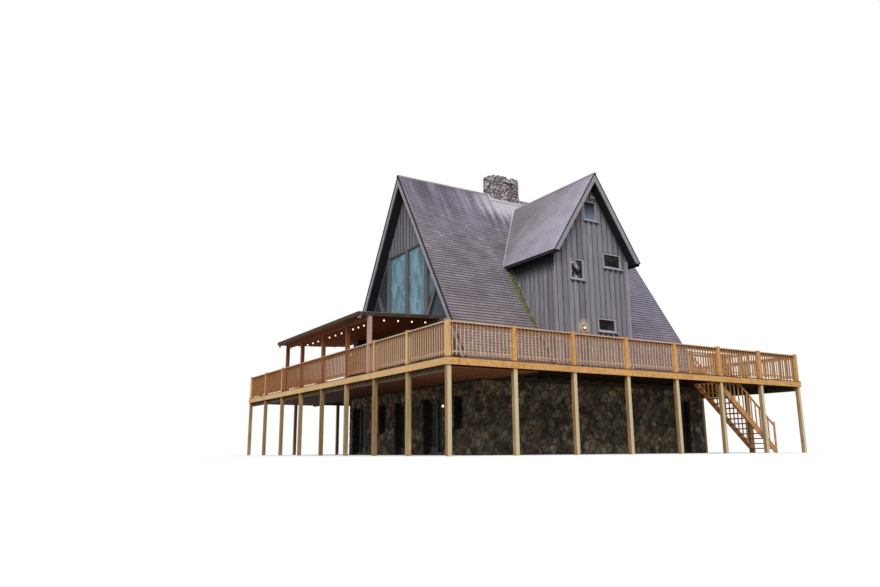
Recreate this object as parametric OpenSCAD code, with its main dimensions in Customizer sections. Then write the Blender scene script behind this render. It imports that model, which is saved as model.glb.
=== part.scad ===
// A-frame cabin on a stone basement, with cross gables, a wrap-round deck and a stair.
// Origin on the ground under the middle of the house. Front gable faces -Y, +X is right.

/* [House] */
// Width of the house over the roof feet
house_w = 10948; // [9000:1:13000]
// Length of the house over the two gable walls
house_l = 11210; // [9000:1:13000]
// Height of the main ridge above the deck
ridge_rise = 8924; // [7500:1:10500]
// Height of the upper floor, and of the attic floor above it
storey_h = 2550; // [2400:1:2700]
// Thickness of the upper floor
upper_floor_t = 200; // [150:1:250]
// Thickness of the attic floor
attic_floor_t = 150; // [120:1:200]
// Thickness of the main roof slopes
roof_t = 240; // [180:1:300]
// Overhang of the roof past the gable walls
gable_overhang = 440; // [250:1:600]
// Thickness of the boarded walls
siding_wall_t = 150; // [100:1:200]
// Thickness of the rake boards
rake_t = 40; // [25:1:60]

/* [Basement] */
// Height of the stone walls
basement_h = 2550; // [2400:1:2800]
// Thickness of the stone walls
stone_t = 300; // [220:1:400]
// Thickness of the basement floor
basement_floor_t = 60; // [40:1:90]
// Height of the basement openings above the ground
door_h = 2100; // [2000:1:2200]
// Width of each garden door unit, door and side light together
door_unit_w = 1400; // [1350:1:1500]
// Distance from the house's left corner to the middle of the left garden door unit
left_unit_in = 1044; // [900:1:1400]
// Places of the middle and right garden door units along the front
other_unit_x = [-250, 2140];
// Width of the basement windows
low_window_w = 640; // [500:1:750]
// Place of the left basement window along the front
left_window_x = -2090; // [-2400:1:-1500]
// Distance from the house's right corner to the middle of the right basement window
right_window_in = 1494; // [700:1:1600]
// Height of the basement window sills
low_sill_h = 900; // [600:1:1200]
// Width of the side doorway
side_door_w = 860; // [780:1:950]
// Distance from the house's back corner to the middle of the side doorway
side_door_in = 1220; // [1000:1:2500]

/* [Doors] */
// Width of the timber door frames
jamb_w = 45; // [35:1:60]
// Depth of the timber door frames
jamb_d = 100; // [80:1:140]
// Thickness of the door leaves
leaf_t = 45; // [38:1:55]
// Running gap round each door leaf
leaf_gap = 8; // [7:1:12]
// Width of the swinging leaf's part of a garden door unit
leaf_zone = 780; // [700:1:800]
// Width of the stiles of the glazed leaves
stile_w = 105; // [80:1:130]
// Thickness of the window glass
glass_t = 20; // [12:1:24]

/* [Deck] */
// Height of the deck's walking surface
deck_h = 2900; // [2750:1:3200]
// Distance between deck posts
bay = 2438.4; // [2400:0.1:2500]
// Width of the deck on the right of the house
deck_right = 2637; // [2300:1:3000]
// Thickness of the deck boards
board_t = 38; // [25:1:45]
// Depth of the fascia boards
fascia_h = 228; // [180:1:260]
// Thickness of the fascia boards
fascia_t = 40; // [30:1:50]
// Distance that the fascia's top lies below the boards' top
fascia_drop = 20; // [0:1:30]
// Side of the square deck posts
post_w = 140; // [100:1:160]
// Depth of the deck joists
joist_h = 184; // [150:1:200]
// Thickness of the deck joists
joist_t = 40; // [35:1:50]
// Distance between the joists
joist_pitch = 609.6; // [400:0.1:700]
// Depth of the dropped beams
beam_h = 198; // [150:1:230]
// Thickness of the dropped beams
beam_t = 90; // [70:1:120]

/* [Railing] */
// Height of the rail post caps above the deck
rail_h = 1110; // [950:1:1200]
// Thickness of the balusters and rails
baluster_w = 38; // [30:1:45]
// Balusters in each bay
balusters = 16; // [14:1:18]
// Width of the flat cap rail
cap_rail_w = 120; // [90:1:140]

/* [Stair] */
// Width of the stair over its stringers
stair_w = 1050; // [900:1:1100]
// Number of risers
risers = 15; // [14:1:16]
// Fall of the stair for each unit of its run
stair_slope = 0.81; // [0.75:0.01:0.9]
// Distance from the middle of the house back to the top step
stair_top_y = 3600; // [3300:1:3700]
// Length of the stairwell
well_l = 2005; // [1900:1:2005]
// Thickness of the stringers
stringer_t = 45; // [38:1:60]
// Height of the stair rails above the nosings
stair_rail_h = 950; // [850:1:1000]

/* [Cross gables] */
// Width of each cross gable's wall
dormer_w = 3812; // [3300:1:4200]
// Width of each cross gable's roof at the eaves
dormer_roof_w = 4536; // [4300:1:5000]
// Height of the eaves above the deck
dormer_eave_h = 4700; // [4300:1:5000]
// Drop from the main ridge to the cross gables' ridge
dormer_ridge_drop = 717; // [500:1:1200]
// Thickness of the cross gables' roof slopes
dormer_roof_t = 200; // [150:1:240]
// Overhang of the cross gables' roof past their walls
dormer_overhang = 387; // [250:1:500]
// Distance from the roof's foot in to the face of the cross gable's wall
dormer_inset = 18; // [0:1:60]
// Place of the cross gables along the house
dormer_y = -145; // [-500:1:500]
// Size of the long windows of a cross gable
long_window = [1000, 640];
// Size of the deck window of a cross gable
deck_window = [980, 560];
// Size of the tall windows of a cross gable
tall_window = [720, 860];
// Height of the deck window's sill above the deck
deck_sill_h = 1790; // [1500:1:2000]
// Distance from the eaves down to the long window's sill
long_sill_drop = 280; // [150:1:700]
// Distance from the eaves down to the tall window's sill
tall_sill_drop = 940; // [700:1:1200]
// Distance from the ridge down to the top window's sill
top_sill_drop = 1927; // [1800:1:2300]
// Width of the sash frames
sash_w = 75; // [50:1:90]
// Projection of the window sills
sill_out = 60; // [30:1:90]

/* [Gable glazing] */
// Height of the glazing above the deck
glazing_h = 5670; // [5200:1:6000]
// Width of the middle mullion
mid_mullion_w = 260; // [200:1:300]
// Width of the side mullions
side_mullion_w = 280; // [200:1:320]
// Distance from the middle to the side mullions' axes
side_mullion_x = 1630; // [1500:1:1750]
// Height of the cross beam's top above the deck
transom_h = 2250; // [2200:1:2500]
// Depth of the cross beam
transom_d = 200; // [150:1:250]
// Distance from the middle to the braces at the cross beam
brace_x = 1583; // [1500:1:1900]
// Half the width of the braces, measured level
brace_half_w = 100; // [60:1:120]

/* [Porch] */
// Distance from the porch's outer posts to the next deck post inwards
porch_side = 1920; // [1500:1:2200]
// Overhang of the porch roof past the middle of its posts
porch_overhang = 460; // [300:1:700]
// Height of the porch roof's front edge above the deck
porch_front_h = 2200; // [2050:1:2300]
// Rise of the porch roof towards the house
porch_rise = 150; // [60:1:200]
// Thickness of the porch roof
porch_t = 120; // [80:1:160]
// Depth of the beam over the porch posts
porch_beam_h = 140; // [100:1:180]

/* [Lamps] */
// Size of the wall lanterns: width, projection and height
lantern = [110, 90, 190];
// Distance from the right garden door unit to its lantern
lantern_gap = 80; // [50:1:150]
// Distance from the middle of a cross gable to its lantern
lantern_y = 690; // [500:1:900]
// Height of that lantern above the deck
lantern_up = 1780; // [1600:1:2000]
// Distance from the cross gables' ridge down to the twin spots
spot_drop = 957; // [800:1:1100]
// Radius of the spots
spot_r = 45; // [30:1:60]
// Radius of the porch bulbs
bulb_r = 30; // [20:1:40]
// Drop of the porch bulbs below the beam and the roof
bulb_drop = 160; // [100:1:200]

/* [Chimney] */
// Width of the chimney across the ridge
chimney_w = 650; // [500:1:900]
// Length of the chimney along the ridge
chimney_l = 1520; // [1200:1:1800]
// Place of the chimney across the ridge
chimney_x = -115; // [-150:1:150]
// Place of the chimney along the ridge
chimney_y = -465; // [-700:1:0]
// Height of the chimney's top above the ridge
chimney_h = 887; // [700:1:1200]

/* [Hidden] */
$fn = 32;
half_w = house_w / 2;
half_l = house_l / 2;
ridge_z = deck_h + ridge_rise;
run = half_w / ridge_rise;
roof_dx = roof_t * sqrt(1 + run * run);
roof_dz = roof_dx / run;
rake_y = half_l + gable_overhang;

deck_w = 8 * bay + fascia_t * 2 + post_w;
deck_l = 7 * bay + fascia_t * 2 + post_w;
deck_x1 = half_w + deck_right;
deck_x0 = deck_x1 - deck_w;
deck_y1 = deck_l / 2;
deck_y0 = -deck_y1;
post_in = fascia_t + post_w / 2;
board_z = deck_h - board_t;
beam_top = board_z - joist_h;
beam_in = fascia_t + post_w;
stone_in_x = half_w - stone_t;
stone_in_y = half_l - stone_t;

dormer_ridge_z = ridge_z - dormer_ridge_drop;
dormer_eave_z = deck_h + dormer_eave_h;
dormer_run = (dormer_roof_w / 2) / (dormer_ridge_z - dormer_eave_z);
dormer_dx = dormer_roof_t * sqrt(1 + dormer_run * dormer_run);
dormer_in_z = dormer_ridge_z - dormer_dx / dormer_run;
dormer_wall_z = dormer_in_z - dormer_w / 2 / dormer_run;
dormer_face = half_w - dormer_inset;
dormer_end = dormer_face + dormer_overhang;
dormer_back = dormer_face - siding_wall_t;

riser = deck_h / risers;
going = riser / stair_slope;
stair_x1 = deck_x1 - beam_in - beam_t;
stair_x0 = stair_x1 - stair_w;
newel_w = 89;
newel_y = stair_top_y + (risers - 1) * going - 12;
well_y1 = stair_top_y + well_l;

// Clearance under pieces that sit on a slope
seat = 0.3;

door_unit_x = [left_unit_in - half_w, other_unit_x[0], other_unit_x[1]];
side_door_y = half_l - side_door_in;
low_window_x = [left_window_x, half_w - right_window_in];

// Each window of a cross gable: middle from the gable's middle, height of the sill, and size
dormer_windows_list = [
    [1080, dormer_eave_z - long_sill_drop, long_window],
    [620, deck_h + deck_sill_h, deck_window],
    [-810, dormer_eave_z - tall_sill_drop, tall_window],
    [20, dormer_ridge_z - top_sill_drop, tall_window]];

stone = [0.45, 0.42, 0.36];
siding = [0.36, 0.34, 0.37];
shingle = [0.38, 0.34, 0.40];
trim = [0.47, 0.43, 0.40];
cedar = [0.80, 0.58, 0.34];
treated = [0.62, 0.56, 0.42];
glass = [0.35, 0.50, 0.55];
dark = [0.16, 0.15, 0.16];

// A profile drawn in X and Z, given a depth along Y
module along_y(y0, y1) {
    translate([0, y1, 0]) rotate([90, 0, 0]) linear_extrude(y1 - y0) children();
}

// A profile drawn in Y and Z, given a depth along X
module along_x(x0, x1) {
    translate([x0, 0, 0]) rotate([90, 0, 90]) linear_extrude(x1 - x0) children();
}

module both_ends() {
    children();
    mirror([0, 1, 0]) children();
}

module both_sides() {
    children();
    mirror([1, 0, 0]) children();
}

module basement_floor() {
    color("silver") {
        translate([-stone_in_x, -stone_in_y, 0])
            cube([2 * stone_in_x, 2 * stone_in_y, basement_floor_t]);
        for (x = door_unit_x)
            translate([x - door_unit_w / 2, -frame_y1, 0])
                cube([door_unit_w, frame_y1 - stone_in_y, basement_floor_t]);
        translate([stone_in_x, side_door_y - side_door_w / 2, 0])
            cube([frame_y1 + half_w - half_l - stone_in_x, side_door_w, basement_floor_t]);
    }
}

// Distance of the door frames' inner face from the middle of the house
frame_y1 = half_l - stone_t + 75;

// Openings along the front, from left to right, as their two edges
front_gaps = [
    [door_unit_x[0] - door_unit_w / 2, door_unit_x[0] + door_unit_w / 2],
    [low_window_x[0] - low_window_w / 2, low_window_x[0] + low_window_w / 2],
    [door_unit_x[1] - door_unit_w / 2, door_unit_x[1] + door_unit_w / 2],
    [door_unit_x[2] - door_unit_w / 2, door_unit_x[2] + door_unit_w / 2],
    [low_window_x[1] - low_window_w / 2, low_window_x[1] + low_window_w / 2]];

module front_stone_piers() {
    starts = concat([-half_w], [for (g = front_gaps) g[1]]);
    ends = concat([for (g = front_gaps) g[0]], [half_w]);
    color(stone)
        for (i = [0:len(ends) - 1])
            translate([starts[i], -half_l, 0]) cube([ends[i] - starts[i], stone_t, door_h]);
}

module stone_lintels() {
    color(stone) {
        translate([-half_w, -half_l, door_h]) cube([house_w, stone_t, basement_h - door_h]);
        translate([stone_in_x, side_door_y - side_door_w / 2, door_h])
            cube([stone_t, side_door_w, basement_h - door_h]);
    }
}

module stone_sills() {
    color(stone)
        for (x = low_window_x)
            translate([x - low_window_w / 2, -half_l, 0]) cube([low_window_w, stone_t, low_sill_h]);
}

module right_stone_wall() {
    gap0 = side_door_y - side_door_w / 2;
    gap1 = side_door_y + side_door_w / 2;
    color(stone) {
        translate([stone_in_x, -stone_in_y, 0]) cube([stone_t, gap0 + stone_in_y, basement_h]);
        translate([stone_in_x, gap1, 0]) cube([stone_t, stone_in_y - gap1, basement_h]);
    }
}

module left_stone_wall() {
    color(stone) translate([-half_w, -stone_in_y, 0]) cube([stone_t, 2 * stone_in_y, basement_h]);
}

module back_stone_wall() {
    color(stone) translate([-half_w, stone_in_y, 0]) cube([house_w, stone_t, basement_h]);
}

module main_floor() {
    color(trim)
        translate([-half_w, -half_l, basement_h]) cube([house_w, house_l, deck_h - basement_h]);
}

// Half the clear width between the main roof slopes at a height
function inside_x(z) = (ridge_z - z) * run - roof_dx;

// Half the clear width between the cross gable's slopes at a height
function dormer_inside(z) = min((dormer_in_z - z) * dormer_run, dormer_w / 2 - siding_wall_t);

upper_floor_z = deck_h + storey_h;
attic_floor_z = deck_h + 2 * storey_h;

module cross_floor(z, t) {
    x = inside_x(z + t) - seat;
    y = dormer_inside(z + t) - seat;
    front = dormer_y - dormer_w / 2;
    translate([-x, front, z]) cube([2 * x, half_l - siding_wall_t - front, t]);
    translate([-dormer_back, dormer_y - y, z]) cube([2 * dormer_back, 2 * y, t]);
}

module upper_floors() {
    color(trim) {
        cross_floor(upper_floor_z, upper_floor_t);
        cross_floor(attic_floor_z, attic_floor_t);
    }
}

module slope_2d() {
    polygon([[0, ridge_z], [half_w, deck_h], [half_w - roof_dx, deck_h], [0, ridge_z - roof_dz]]);
}

// The room inside a cross gable, as seen from the side
module dormer_room_2d() {
    polygon([
        [-dormer_w / 2, deck_h], [dormer_w / 2, deck_h], [dormer_w / 2, dormer_wall_z],
        [0, dormer_in_z], [-dormer_w / 2, dormer_wall_z]]);
}

module dormer_prism(x0, x1) {
    translate([0, dormer_y, 0]) along_x(x0, x1) dormer_room_2d();
}

module roof_slope(y0, y1) {
    color(shingle) difference() {
        along_y(y0, y1) slope_2d();
        dormer_prism(1, half_w + 1);
    }
}

roof_end = rake_y - rake_t;

module roof_right_front() { roof_slope(-roof_end, dormer_y); }
module roof_right_back() { roof_slope(dormer_y, roof_end); }
module roof_left_front() { mirror([1, 0, 0]) roof_slope(-roof_end, dormer_y); }
module roof_left_back() { mirror([1, 0, 0]) roof_slope(dormer_y, roof_end); }

// Everything between the main roof slopes at the gable, above the deck
module gable_2d() {
    polygon([
        [-inside_x(deck_h), deck_h], [inside_x(deck_h), deck_h], [0, ridge_z - roof_dz]]);
}

glazing_z = deck_h + glazing_h;
transom_z = deck_h + transom_h;
side_wall_x = side_mullion_x + side_mullion_w / 2;

module gable_walls() {
    color(siding) both_ends() along_y(half_l - siding_wall_t, half_l) {
        intersection() {
            gable_2d();
            translate([-half_w, glazing_z]) square([house_w, ridge_rise]);
        }
        for (s = [-1, 1]) intersection() {
            gable_2d();
            translate([s * (side_wall_x + half_w) - half_w, deck_h])
                square([house_w, transom_h - transom_d]);
        }
    }
}

edge_w = 90;

// A strip along the underside of the right-hand slope, drawn on past it
module slope_strip_2d(w) {
    x0 = inside_x(transom_z);
    x1 = inside_x(glazing_z);
    polygon([[x0 + w, transom_z], [x1 + w, glazing_z], [x1 - w, glazing_z], [x0 - w, transom_z]]);
}

// A brace that leans outwards from the side mullion to the slope
module gable_brace_2d() {
    w = brace_half_w;
    x0 = brace_x;
    x1 = brace_x + (glazing_z - transom_z) * run;
    polygon([[x0 - w, transom_z], [x0 + w, transom_z], [x1 + w, glazing_z], [x1 - w, glazing_z]]);
}

module gable_frame_2d() {
    intersection() {
        gable_2d();
        union() {
            translate([-mid_mullion_w / 2, deck_h]) square([mid_mullion_w, glazing_h]);
            for (s = [-1, 1]) translate([s * side_mullion_x - side_mullion_w / 2, deck_h])
                square([side_mullion_w, glazing_h]);
            translate([-half_w, transom_z - transom_d]) square([house_w, transom_d]);
            translate([-side_wall_x, glazing_z - edge_w]) square([2 * side_wall_x, edge_w]);
            translate([-side_mullion_x, deck_h]) square([2 * side_mullion_x, edge_w]);
            both_sides() {
                slope_strip_2d(edge_w);
                gable_brace_2d();
                for (x = [mid_mullion_w / 2, side_mullion_x - side_mullion_w / 2 - edge_w])
                    translate([x, deck_h]) square([edge_w, transom_h]);
            }
        }
    }
}

module gable_frames() {
    color(siding) both_ends() along_y(half_l - siding_wall_t, half_l) gable_frame_2d();
}

module gable_glass() {
    color(glass) both_ends() along_y(half_l - (siding_wall_t + glass_t) / 2,
                                     half_l - (siding_wall_t - glass_t) / 2)
        difference() {
            intersection() {
                gable_2d();
                union() {
                    translate([-side_mullion_x, deck_h]) square([2 * side_mullion_x, glazing_h]);
                    translate([-half_w, transom_z]) square([house_w, glazing_h - transom_h]);
                }
            }
            gable_frame_2d();
        }
}

module dormer_roof_2d() {
    polygon([
        [-dormer_roof_w / 2, dormer_eave_z], [0, dormer_ridge_z], [dormer_roof_w / 2, dormer_eave_z],
        [dormer_roof_w / 2 - dormer_dx, dormer_eave_z], [0, dormer_in_z],
        [dormer_dx - dormer_roof_w / 2, dormer_eave_z]]);
}

module rake_boards() {
    color(trim) {
        both_ends() along_y(roof_end, rake_y) both_sides() slope_2d();
        both_sides() translate([0, dormer_y, 0]) along_x(dormer_end - rake_t, dormer_end)
            dormer_roof_2d();
    }
}

// Everything under the main roof's outer faces on the right
module under_right_slope() {
    along_y(-rake_y, rake_y)
        polygon([[-half_w, 0], [ridge_z * run, 0], [-half_w, ridge_z + ridge_rise]]);
}

module dormer_roof() {
    difference() {
        translate([0, dormer_y, 0]) along_x(0, dormer_end - rake_t) dormer_roof_2d();
        under_right_slope();
    }
}

chimney_y0 = chimney_y - chimney_l / 2;
chimney_y1 = chimney_y + chimney_l / 2;
chimney_x0 = chimney_x - chimney_w / 2;
chimney_x1 = chimney_x + chimney_w / 2;

// Room for the chimney in the roofs and ridge caps round it
module chimney_room() {
    translate([chimney_x0 - seat, chimney_y0 - seat, 0])
        cube([chimney_w + 2 * seat, chimney_l + 2 * seat, 2 * ridge_z]);
}

module dormer_roof_right() { color(shingle) difference() { dormer_roof(); chimney_room(); } }
module dormer_roof_left() {
    color(shingle) difference() { mirror([1, 0, 0]) dormer_roof(); chimney_room(); }
}

cap_t = 15;
cap_w = 170;

module cap_2d(slope_run) {
    dz = cap_w / slope_run;
    lift = cap_t * sqrt(1 + slope_run * slope_run) / slope_run;
    polygon([
        [0, 0], [cap_w, -dz], [cap_w, lift - dz], [0, lift], [-cap_w, lift - dz], [-cap_w, -dz]]);
}

module ridge_caps() {
    color(shingle) difference() {
        union() {
            along_y(-rake_y, rake_y) translate([0, ridge_z + seat]) cap_2d(run);
            both_sides() difference() {
                translate([0, dormer_y, dormer_ridge_z + seat]) along_x(0, dormer_end) cap_2d(dormer_run);
                under_right_slope();
            }
        }
        chimney_room();
    }
}

module chimney() {
    x0 = chimney_x0;
    x1 = chimney_x1;
    foot = ridge_z + seat;
    top = ridge_z + chimney_h;
    color(stone) along_y(chimney_y0, chimney_y1)
        polygon([[x0, foot + x0 / run], [0, foot], [x1, foot - x1 / run], [x1, top], [x0, top]]);
}

module dormer_holes_2d() {
    for (w = dormer_windows_list) translate([w[0] - w[2][0] / 2, w[1]]) square(w[2]);
}

// The daylight openings of the sashes
module dormer_panes_2d() {
    for (w = dormer_windows_list) translate([w[0] - w[2][0] / 2 + sash_w, w[1] + sash_w])
        square([w[2][0] - 2 * sash_w, w[2][1] - 2 * sash_w]);
}

module dormer_walls() {
    color(siding) both_sides() translate([0, dormer_y, 0]) along_x(dormer_back, dormer_face)
        difference() {
            dormer_room_2d();
            dormer_holes_2d();
        }
}

module dormer_cheeks() {
    color(siding) both_sides() intersection() {
        for (y = [dormer_y - dormer_w / 2, dormer_y + dormer_w / 2 - siding_wall_t])
            along_y(y, y + siding_wall_t)
                polygon([
                    [inside_x(deck_h), deck_h], [dormer_back, deck_h], [dormer_back, dormer_in_z],
                    [inside_x(dormer_in_z), dormer_in_z]]);
        dormer_prism(0, half_w);
    }
}

sash_in = 20;
sash_t = 100;
sill_t = 40;
sill_over = 60;

module dormer_windows() {
    color(siding) both_sides() translate([0, dormer_y, 0]) {
        along_x(dormer_face - sash_in - sash_t, dormer_face - sash_in) difference() {
            dormer_holes_2d();
            dormer_panes_2d();
        }
        along_x(dormer_face, dormer_face + sill_out)
            for (w = dormer_windows_list)
                translate([w[0] - w[2][0] / 2 - sill_over, w[1] - sill_t])
                    square([w[2][0] + 2 * sill_over, sill_t]);
    }
}

module dormer_glass() {
    mid = dormer_face - sash_in - sash_t / 2;
    color(glass) both_sides() translate([0, dormer_y, 0])
        along_x(mid - glass_t / 2, mid + glass_t / 2) dormer_panes_2d();
}

module decking() {
    color(cedar) difference() {
        translate([deck_x0 + fascia_t, deck_y0 + fascia_t, board_z])
            cube([deck_w - 2 * fascia_t, deck_l - 2 * fascia_t, board_t]);
        translate([-half_w, -half_l, board_z - 1]) cube([house_w, house_l, board_t + 2]);
        translate([stair_x0, stair_top_y, board_z - 1]) cube([stair_w, well_l, board_t + 2]);
    }
}

// Joists run out from the house at the sides, and from front to back elsewhere
module deck_joists() {
    x_left = deck_x0 + fascia_t + joist_t;
    x_right = deck_x1 - fascia_t - joist_t;
    y_end = deck_y1 - fascia_t - joist_t;
    side_n = floor((house_l - joist_t) / joist_pitch);
    end_n = floor((x_right - x_left - joist_t) / joist_pitch);
    color(treated) {
        for (i = [0:side_n]) {
            y = -half_l + i * (house_l - joist_t) / side_n;
            at_trimmer = y + joist_t > stair_top_y - joist_t && y < stair_top_y;
            right_end = y > stair_top_y ? stair_x0 - joist_t : x_right;
            translate([x_left, y, beam_top]) cube([-half_w - x_left, joist_t, joist_h]);
            if (!at_trimmer)
                translate([half_w, y, beam_top]) cube([right_end - half_w, joist_t, joist_h]);
        }
        for (i = [0:end_n]) {
            x = x_left + i * (x_right - x_left - joist_t) / end_n;
            back_start = x > half_w ? half_l + joist_t : half_l;
            translate([x, -y_end, beam_top]) cube([joist_t, y_end - half_l, joist_h]);
            translate([x, back_start, beam_top]) cube([joist_t, y_end - back_start, joist_h]);
        }
    }
}

// Rim joists round the edge, and the trimmers that frame the stairwell
module rim_joists() {
    x_right = deck_x1 - fascia_t - joist_t / 2;
    color(treated) {
        deck_ring(fascia_t, joist_t, beam_top, joist_h);
        translate([half_w, stair_top_y - joist_t, beam_top]) cube([x_right - half_w, joist_t, joist_h]);
        translate([half_w, half_l, beam_top]) cube([x_right - half_w, joist_t, joist_h]);
        translate([stair_x0 - joist_t, stair_top_y - joist_t, beam_top])
            cube([joist_t, half_l + 2 * joist_t - stair_top_y, joist_h]);
    }
}

module deck_ring(inset, w, z, h) {
    difference() {
        translate([deck_x0 + inset, deck_y0 + inset, z])
            cube([deck_w - 2 * inset, deck_l - 2 * inset, h]);
        translate([deck_x0 + inset + w, deck_y0 + inset + w, z - 1])
            cube([deck_w - 2 * (inset + w), deck_l - 2 * (inset + w), h + 2]);
    }
}

// Dropped beams behind the front and back posts. At the sides the posts carry the rim joist.
module deck_beams() {
    color(treated) for (y = [deck_y0 + beam_in, deck_y1 - beam_in - beam_t])
        translate([deck_x0 + beam_in, y, beam_top - beam_h]) cube([deck_w - 2 * beam_in, beam_t, beam_h]);
}

module deck_fascia() {
    color(cedar) deck_ring(0, fascia_t, deck_h - fascia_drop - fascia_h, fascia_h);
}

// Places of the posts round the deck's edge
post_x = [for (i = [0:8]) deck_x0 + post_in + i * bay];
post_y = [for (i = [0:7]) deck_y0 + post_in + i * bay];

module deck_posts() {
    color(treated) {
        for (x = post_x, y = [post_y[0], post_y[7]])
            translate([x - post_w / 2, y - post_w / 2, 0]) cube([post_w, post_w, beam_top]);
        for (y = [for (i = [1:6]) post_y[i]], x = [post_x[0], post_x[8]])
            translate([x - post_w / 2, y - post_w / 2, 0]) cube([post_w, post_w, beam_top]);
    }
}

ceiling_t = 20;
ceiling_drop = 58;
ceiling_past = 500;

// Boards hung between the front beam and the house, and a little way past its front corners
module deck_ceiling() {
    front = deck_y0 + beam_in + beam_t;
    color("sienna") translate([0, 0, beam_top - ceiling_drop - ceiling_t]) difference() {
        translate([deck_x0 + beam_in, front, 0])
            cube([deck_w - 2 * beam_in, -half_l + ceiling_past - front, ceiling_t]);
        translate([-half_w, -half_l, -1]) cube([house_w, house_l, ceiling_t + 2]);
    }
}

low_rail_z = 135;
low_rail_h = 50;
baluster_low = 55;
sub_rail_h = 80;
sub_rail_gap = 45;
post_cap_t = 20;
post_cap_over = 10;
rail_top = rail_h - post_cap_t - 15;

// One run of rails between two posts, along X from the origin. The balusters stand in front of
// the two inner rails and reach a little below the lower one.
module rail_bay(length, front = -1) {
    count = max(1, round((length + post_w) / (bay / (balusters + 1))) - 1);
    step = (length + post_w) / (count + 1);
    cap_under = rail_top - baluster_w;
    rail_y = front < 0 ? 0 : -baluster_w;
    along_y(rail_y, rail_y + baluster_w) {
        translate([0, low_rail_z]) square([length, low_rail_h]);
        translate([0, cap_under - sub_rail_gap - sub_rail_h]) square([length, sub_rail_h]);
    }
    along_y(-rail_y - baluster_w, -rail_y)
        for (i = [1:count]) {
            x = i * step - post_w / 2 - baluster_w / 2;
            if (x > 0 && x + baluster_w < length)
                translate([x, baluster_low]) square([baluster_w, cap_under - baluster_low]);
        }
    translate([0, -cap_rail_w / 2, cap_under]) cube([length, cap_rail_w, baluster_w]);
}

module rail_post() {
    translate([-post_w / 2, -post_w / 2, 0]) cube([post_w, post_w, rail_h - post_cap_t]);
    translate([-post_w / 2 - post_cap_over, -post_w / 2 - post_cap_over, rail_h - post_cap_t])
        cube([post_w + 2 * post_cap_over, post_w + 2 * post_cap_over, post_cap_t]);
}

module long_railing(n, first, last, front) {
    for (i = [0:n - 1]) translate([i * bay + post_w / 2, 0, 0]) rail_bay(bay - post_w, front);
    for (i = [first:last]) translate([i * bay, 0, 0]) rail_post();
}

// Places of the porch posts, which stand in the front railing
porch_post_x = [
    post_x[3] - porch_side, post_x[3], post_x[4], post_x[5], post_x[5] + porch_side];

module railing_front() {
    x = concat([for (i = [0:2]) post_x[i]], porch_post_x, [for (i = [6:8]) post_x[i]]);
    color(cedar) translate([0, post_y[0], deck_h]) {
        for (i = [1:len(x) - 1])
            translate([x[i - 1] + post_w / 2, 0, 0]) rail_bay(x[i] - x[i - 1] - post_w);
        for (i = [0, 1, 2, 6, 7, 8]) translate([post_x[i], 0, 0]) rail_post();
    }
}

module railing_back() {
    color(cedar) translate([post_x[0], post_y[7], deck_h]) long_railing(8, 0, 8, 1);
}

module railing_right() {
    color(cedar) translate([post_x[8], post_y[0], deck_h]) rotate([0, 0, 90]) long_railing(7, 1, 6, -1);
}

module railing_left() {
    color(cedar) translate([post_x[0], post_y[0], deck_h]) rotate([0, 0, 90]) long_railing(7, 1, 6, 1);
}

// Guard along the house side and the far end of the stairwell
module stairwell_railing() {
    corner_x = stair_x0 - post_w / 2 - 10;
    corner_y = well_y1 + post_w / 2 + 10;
    start_y = stair_top_y + post_w / 2;
    end_x = post_x[8] - post_w / 2 - post_cap_over;
    color(cedar) {
        translate([corner_x, start_y, deck_h]) rail_post();
        translate([corner_x, corner_y, deck_h]) rail_post();
        translate([corner_x, start_y + post_w / 2, deck_h]) rotate([0, 0, 90])
            rail_bay(corner_y - start_y - post_w);
        translate([corner_x + post_w / 2, corner_y, deck_h])
            rail_bay(end_x - corner_x - post_w / 2);
    }
}

// Height of the line through the nosings
function nosing_z(y) = deck_h - stair_slope * (y - stair_top_y);

stringer_up = 30;
stringer_down = 250;

module stringer_2d() {
    intersection() {
        polygon([
            [stair_top_y, deck_h - stringer_down], [stair_top_y, deck_h + stringer_up],
            [stair_top_y + (deck_h + stringer_up) / stair_slope, 0],
            [stair_top_y + (deck_h - stringer_down) / stair_slope, 0]]);
        translate([stair_top_y, 0]) square([newel_y - stair_top_y, deck_h]);
    }
}

module stair_stringers() {
    color(cedar) {
        along_x(stair_x0, stair_x0 + stringer_t) stringer_2d();
        along_x(stair_x1 - stringer_t, stair_x1) stringer_2d();
    }
}

tread_t = 40;

module stair_treads() {
    color(cedar)
        for (i = [1:risers - 1])
            translate([stair_x0 + stringer_t, stair_top_y + (i - 1) * going, deck_h - i * riser - tread_t])
                cube([stair_w - 2 * stringer_t, going, tread_t]);
}

// Handrail, balusters and foot newel over one stringer
module stair_rail_2d() {
    rail_d = 89;
    y0 = stair_top_y + 40;
    polygon([
        [y0, nosing_z(y0) + stair_rail_h], [newel_y, nosing_z(newel_y) + stair_rail_h],
        [newel_y, nosing_z(newel_y) + stair_rail_h - rail_d], [y0, nosing_z(y0) + stair_rail_h - rail_d]]);
    foot = stringer_up + seat;
    for (i = [1:risers - 2]) {
        y = stair_top_y + (i - 0.5) * going;
        polygon([
            [y, nosing_z(y) + foot], [y + baluster_w, nosing_z(y + baluster_w) + foot],
            [y + baluster_w, nosing_z(y) + stair_rail_h - rail_d / 2],
            [y, nosing_z(y) + stair_rail_h - rail_d / 2]]);
    }
    translate([newel_y, 0]) square([newel_w, nosing_z(newel_y) + stair_rail_h + 60]);
}

module stair_handrails() {
    color(cedar) {
        along_x(stair_x0 + (stringer_t - baluster_w) / 2, stair_x0 + (stringer_t + baluster_w) / 2)
            stair_rail_2d();
        along_x(stair_x1 - (stringer_t + baluster_w) / 2, stair_x1 - (stringer_t - baluster_w) / 2)
            stair_rail_2d();
    }
}

porch_y0 = post_y[0] - porch_overhang;
porch_y1 = -half_l;
porch_z = deck_h + porch_front_h;

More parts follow.
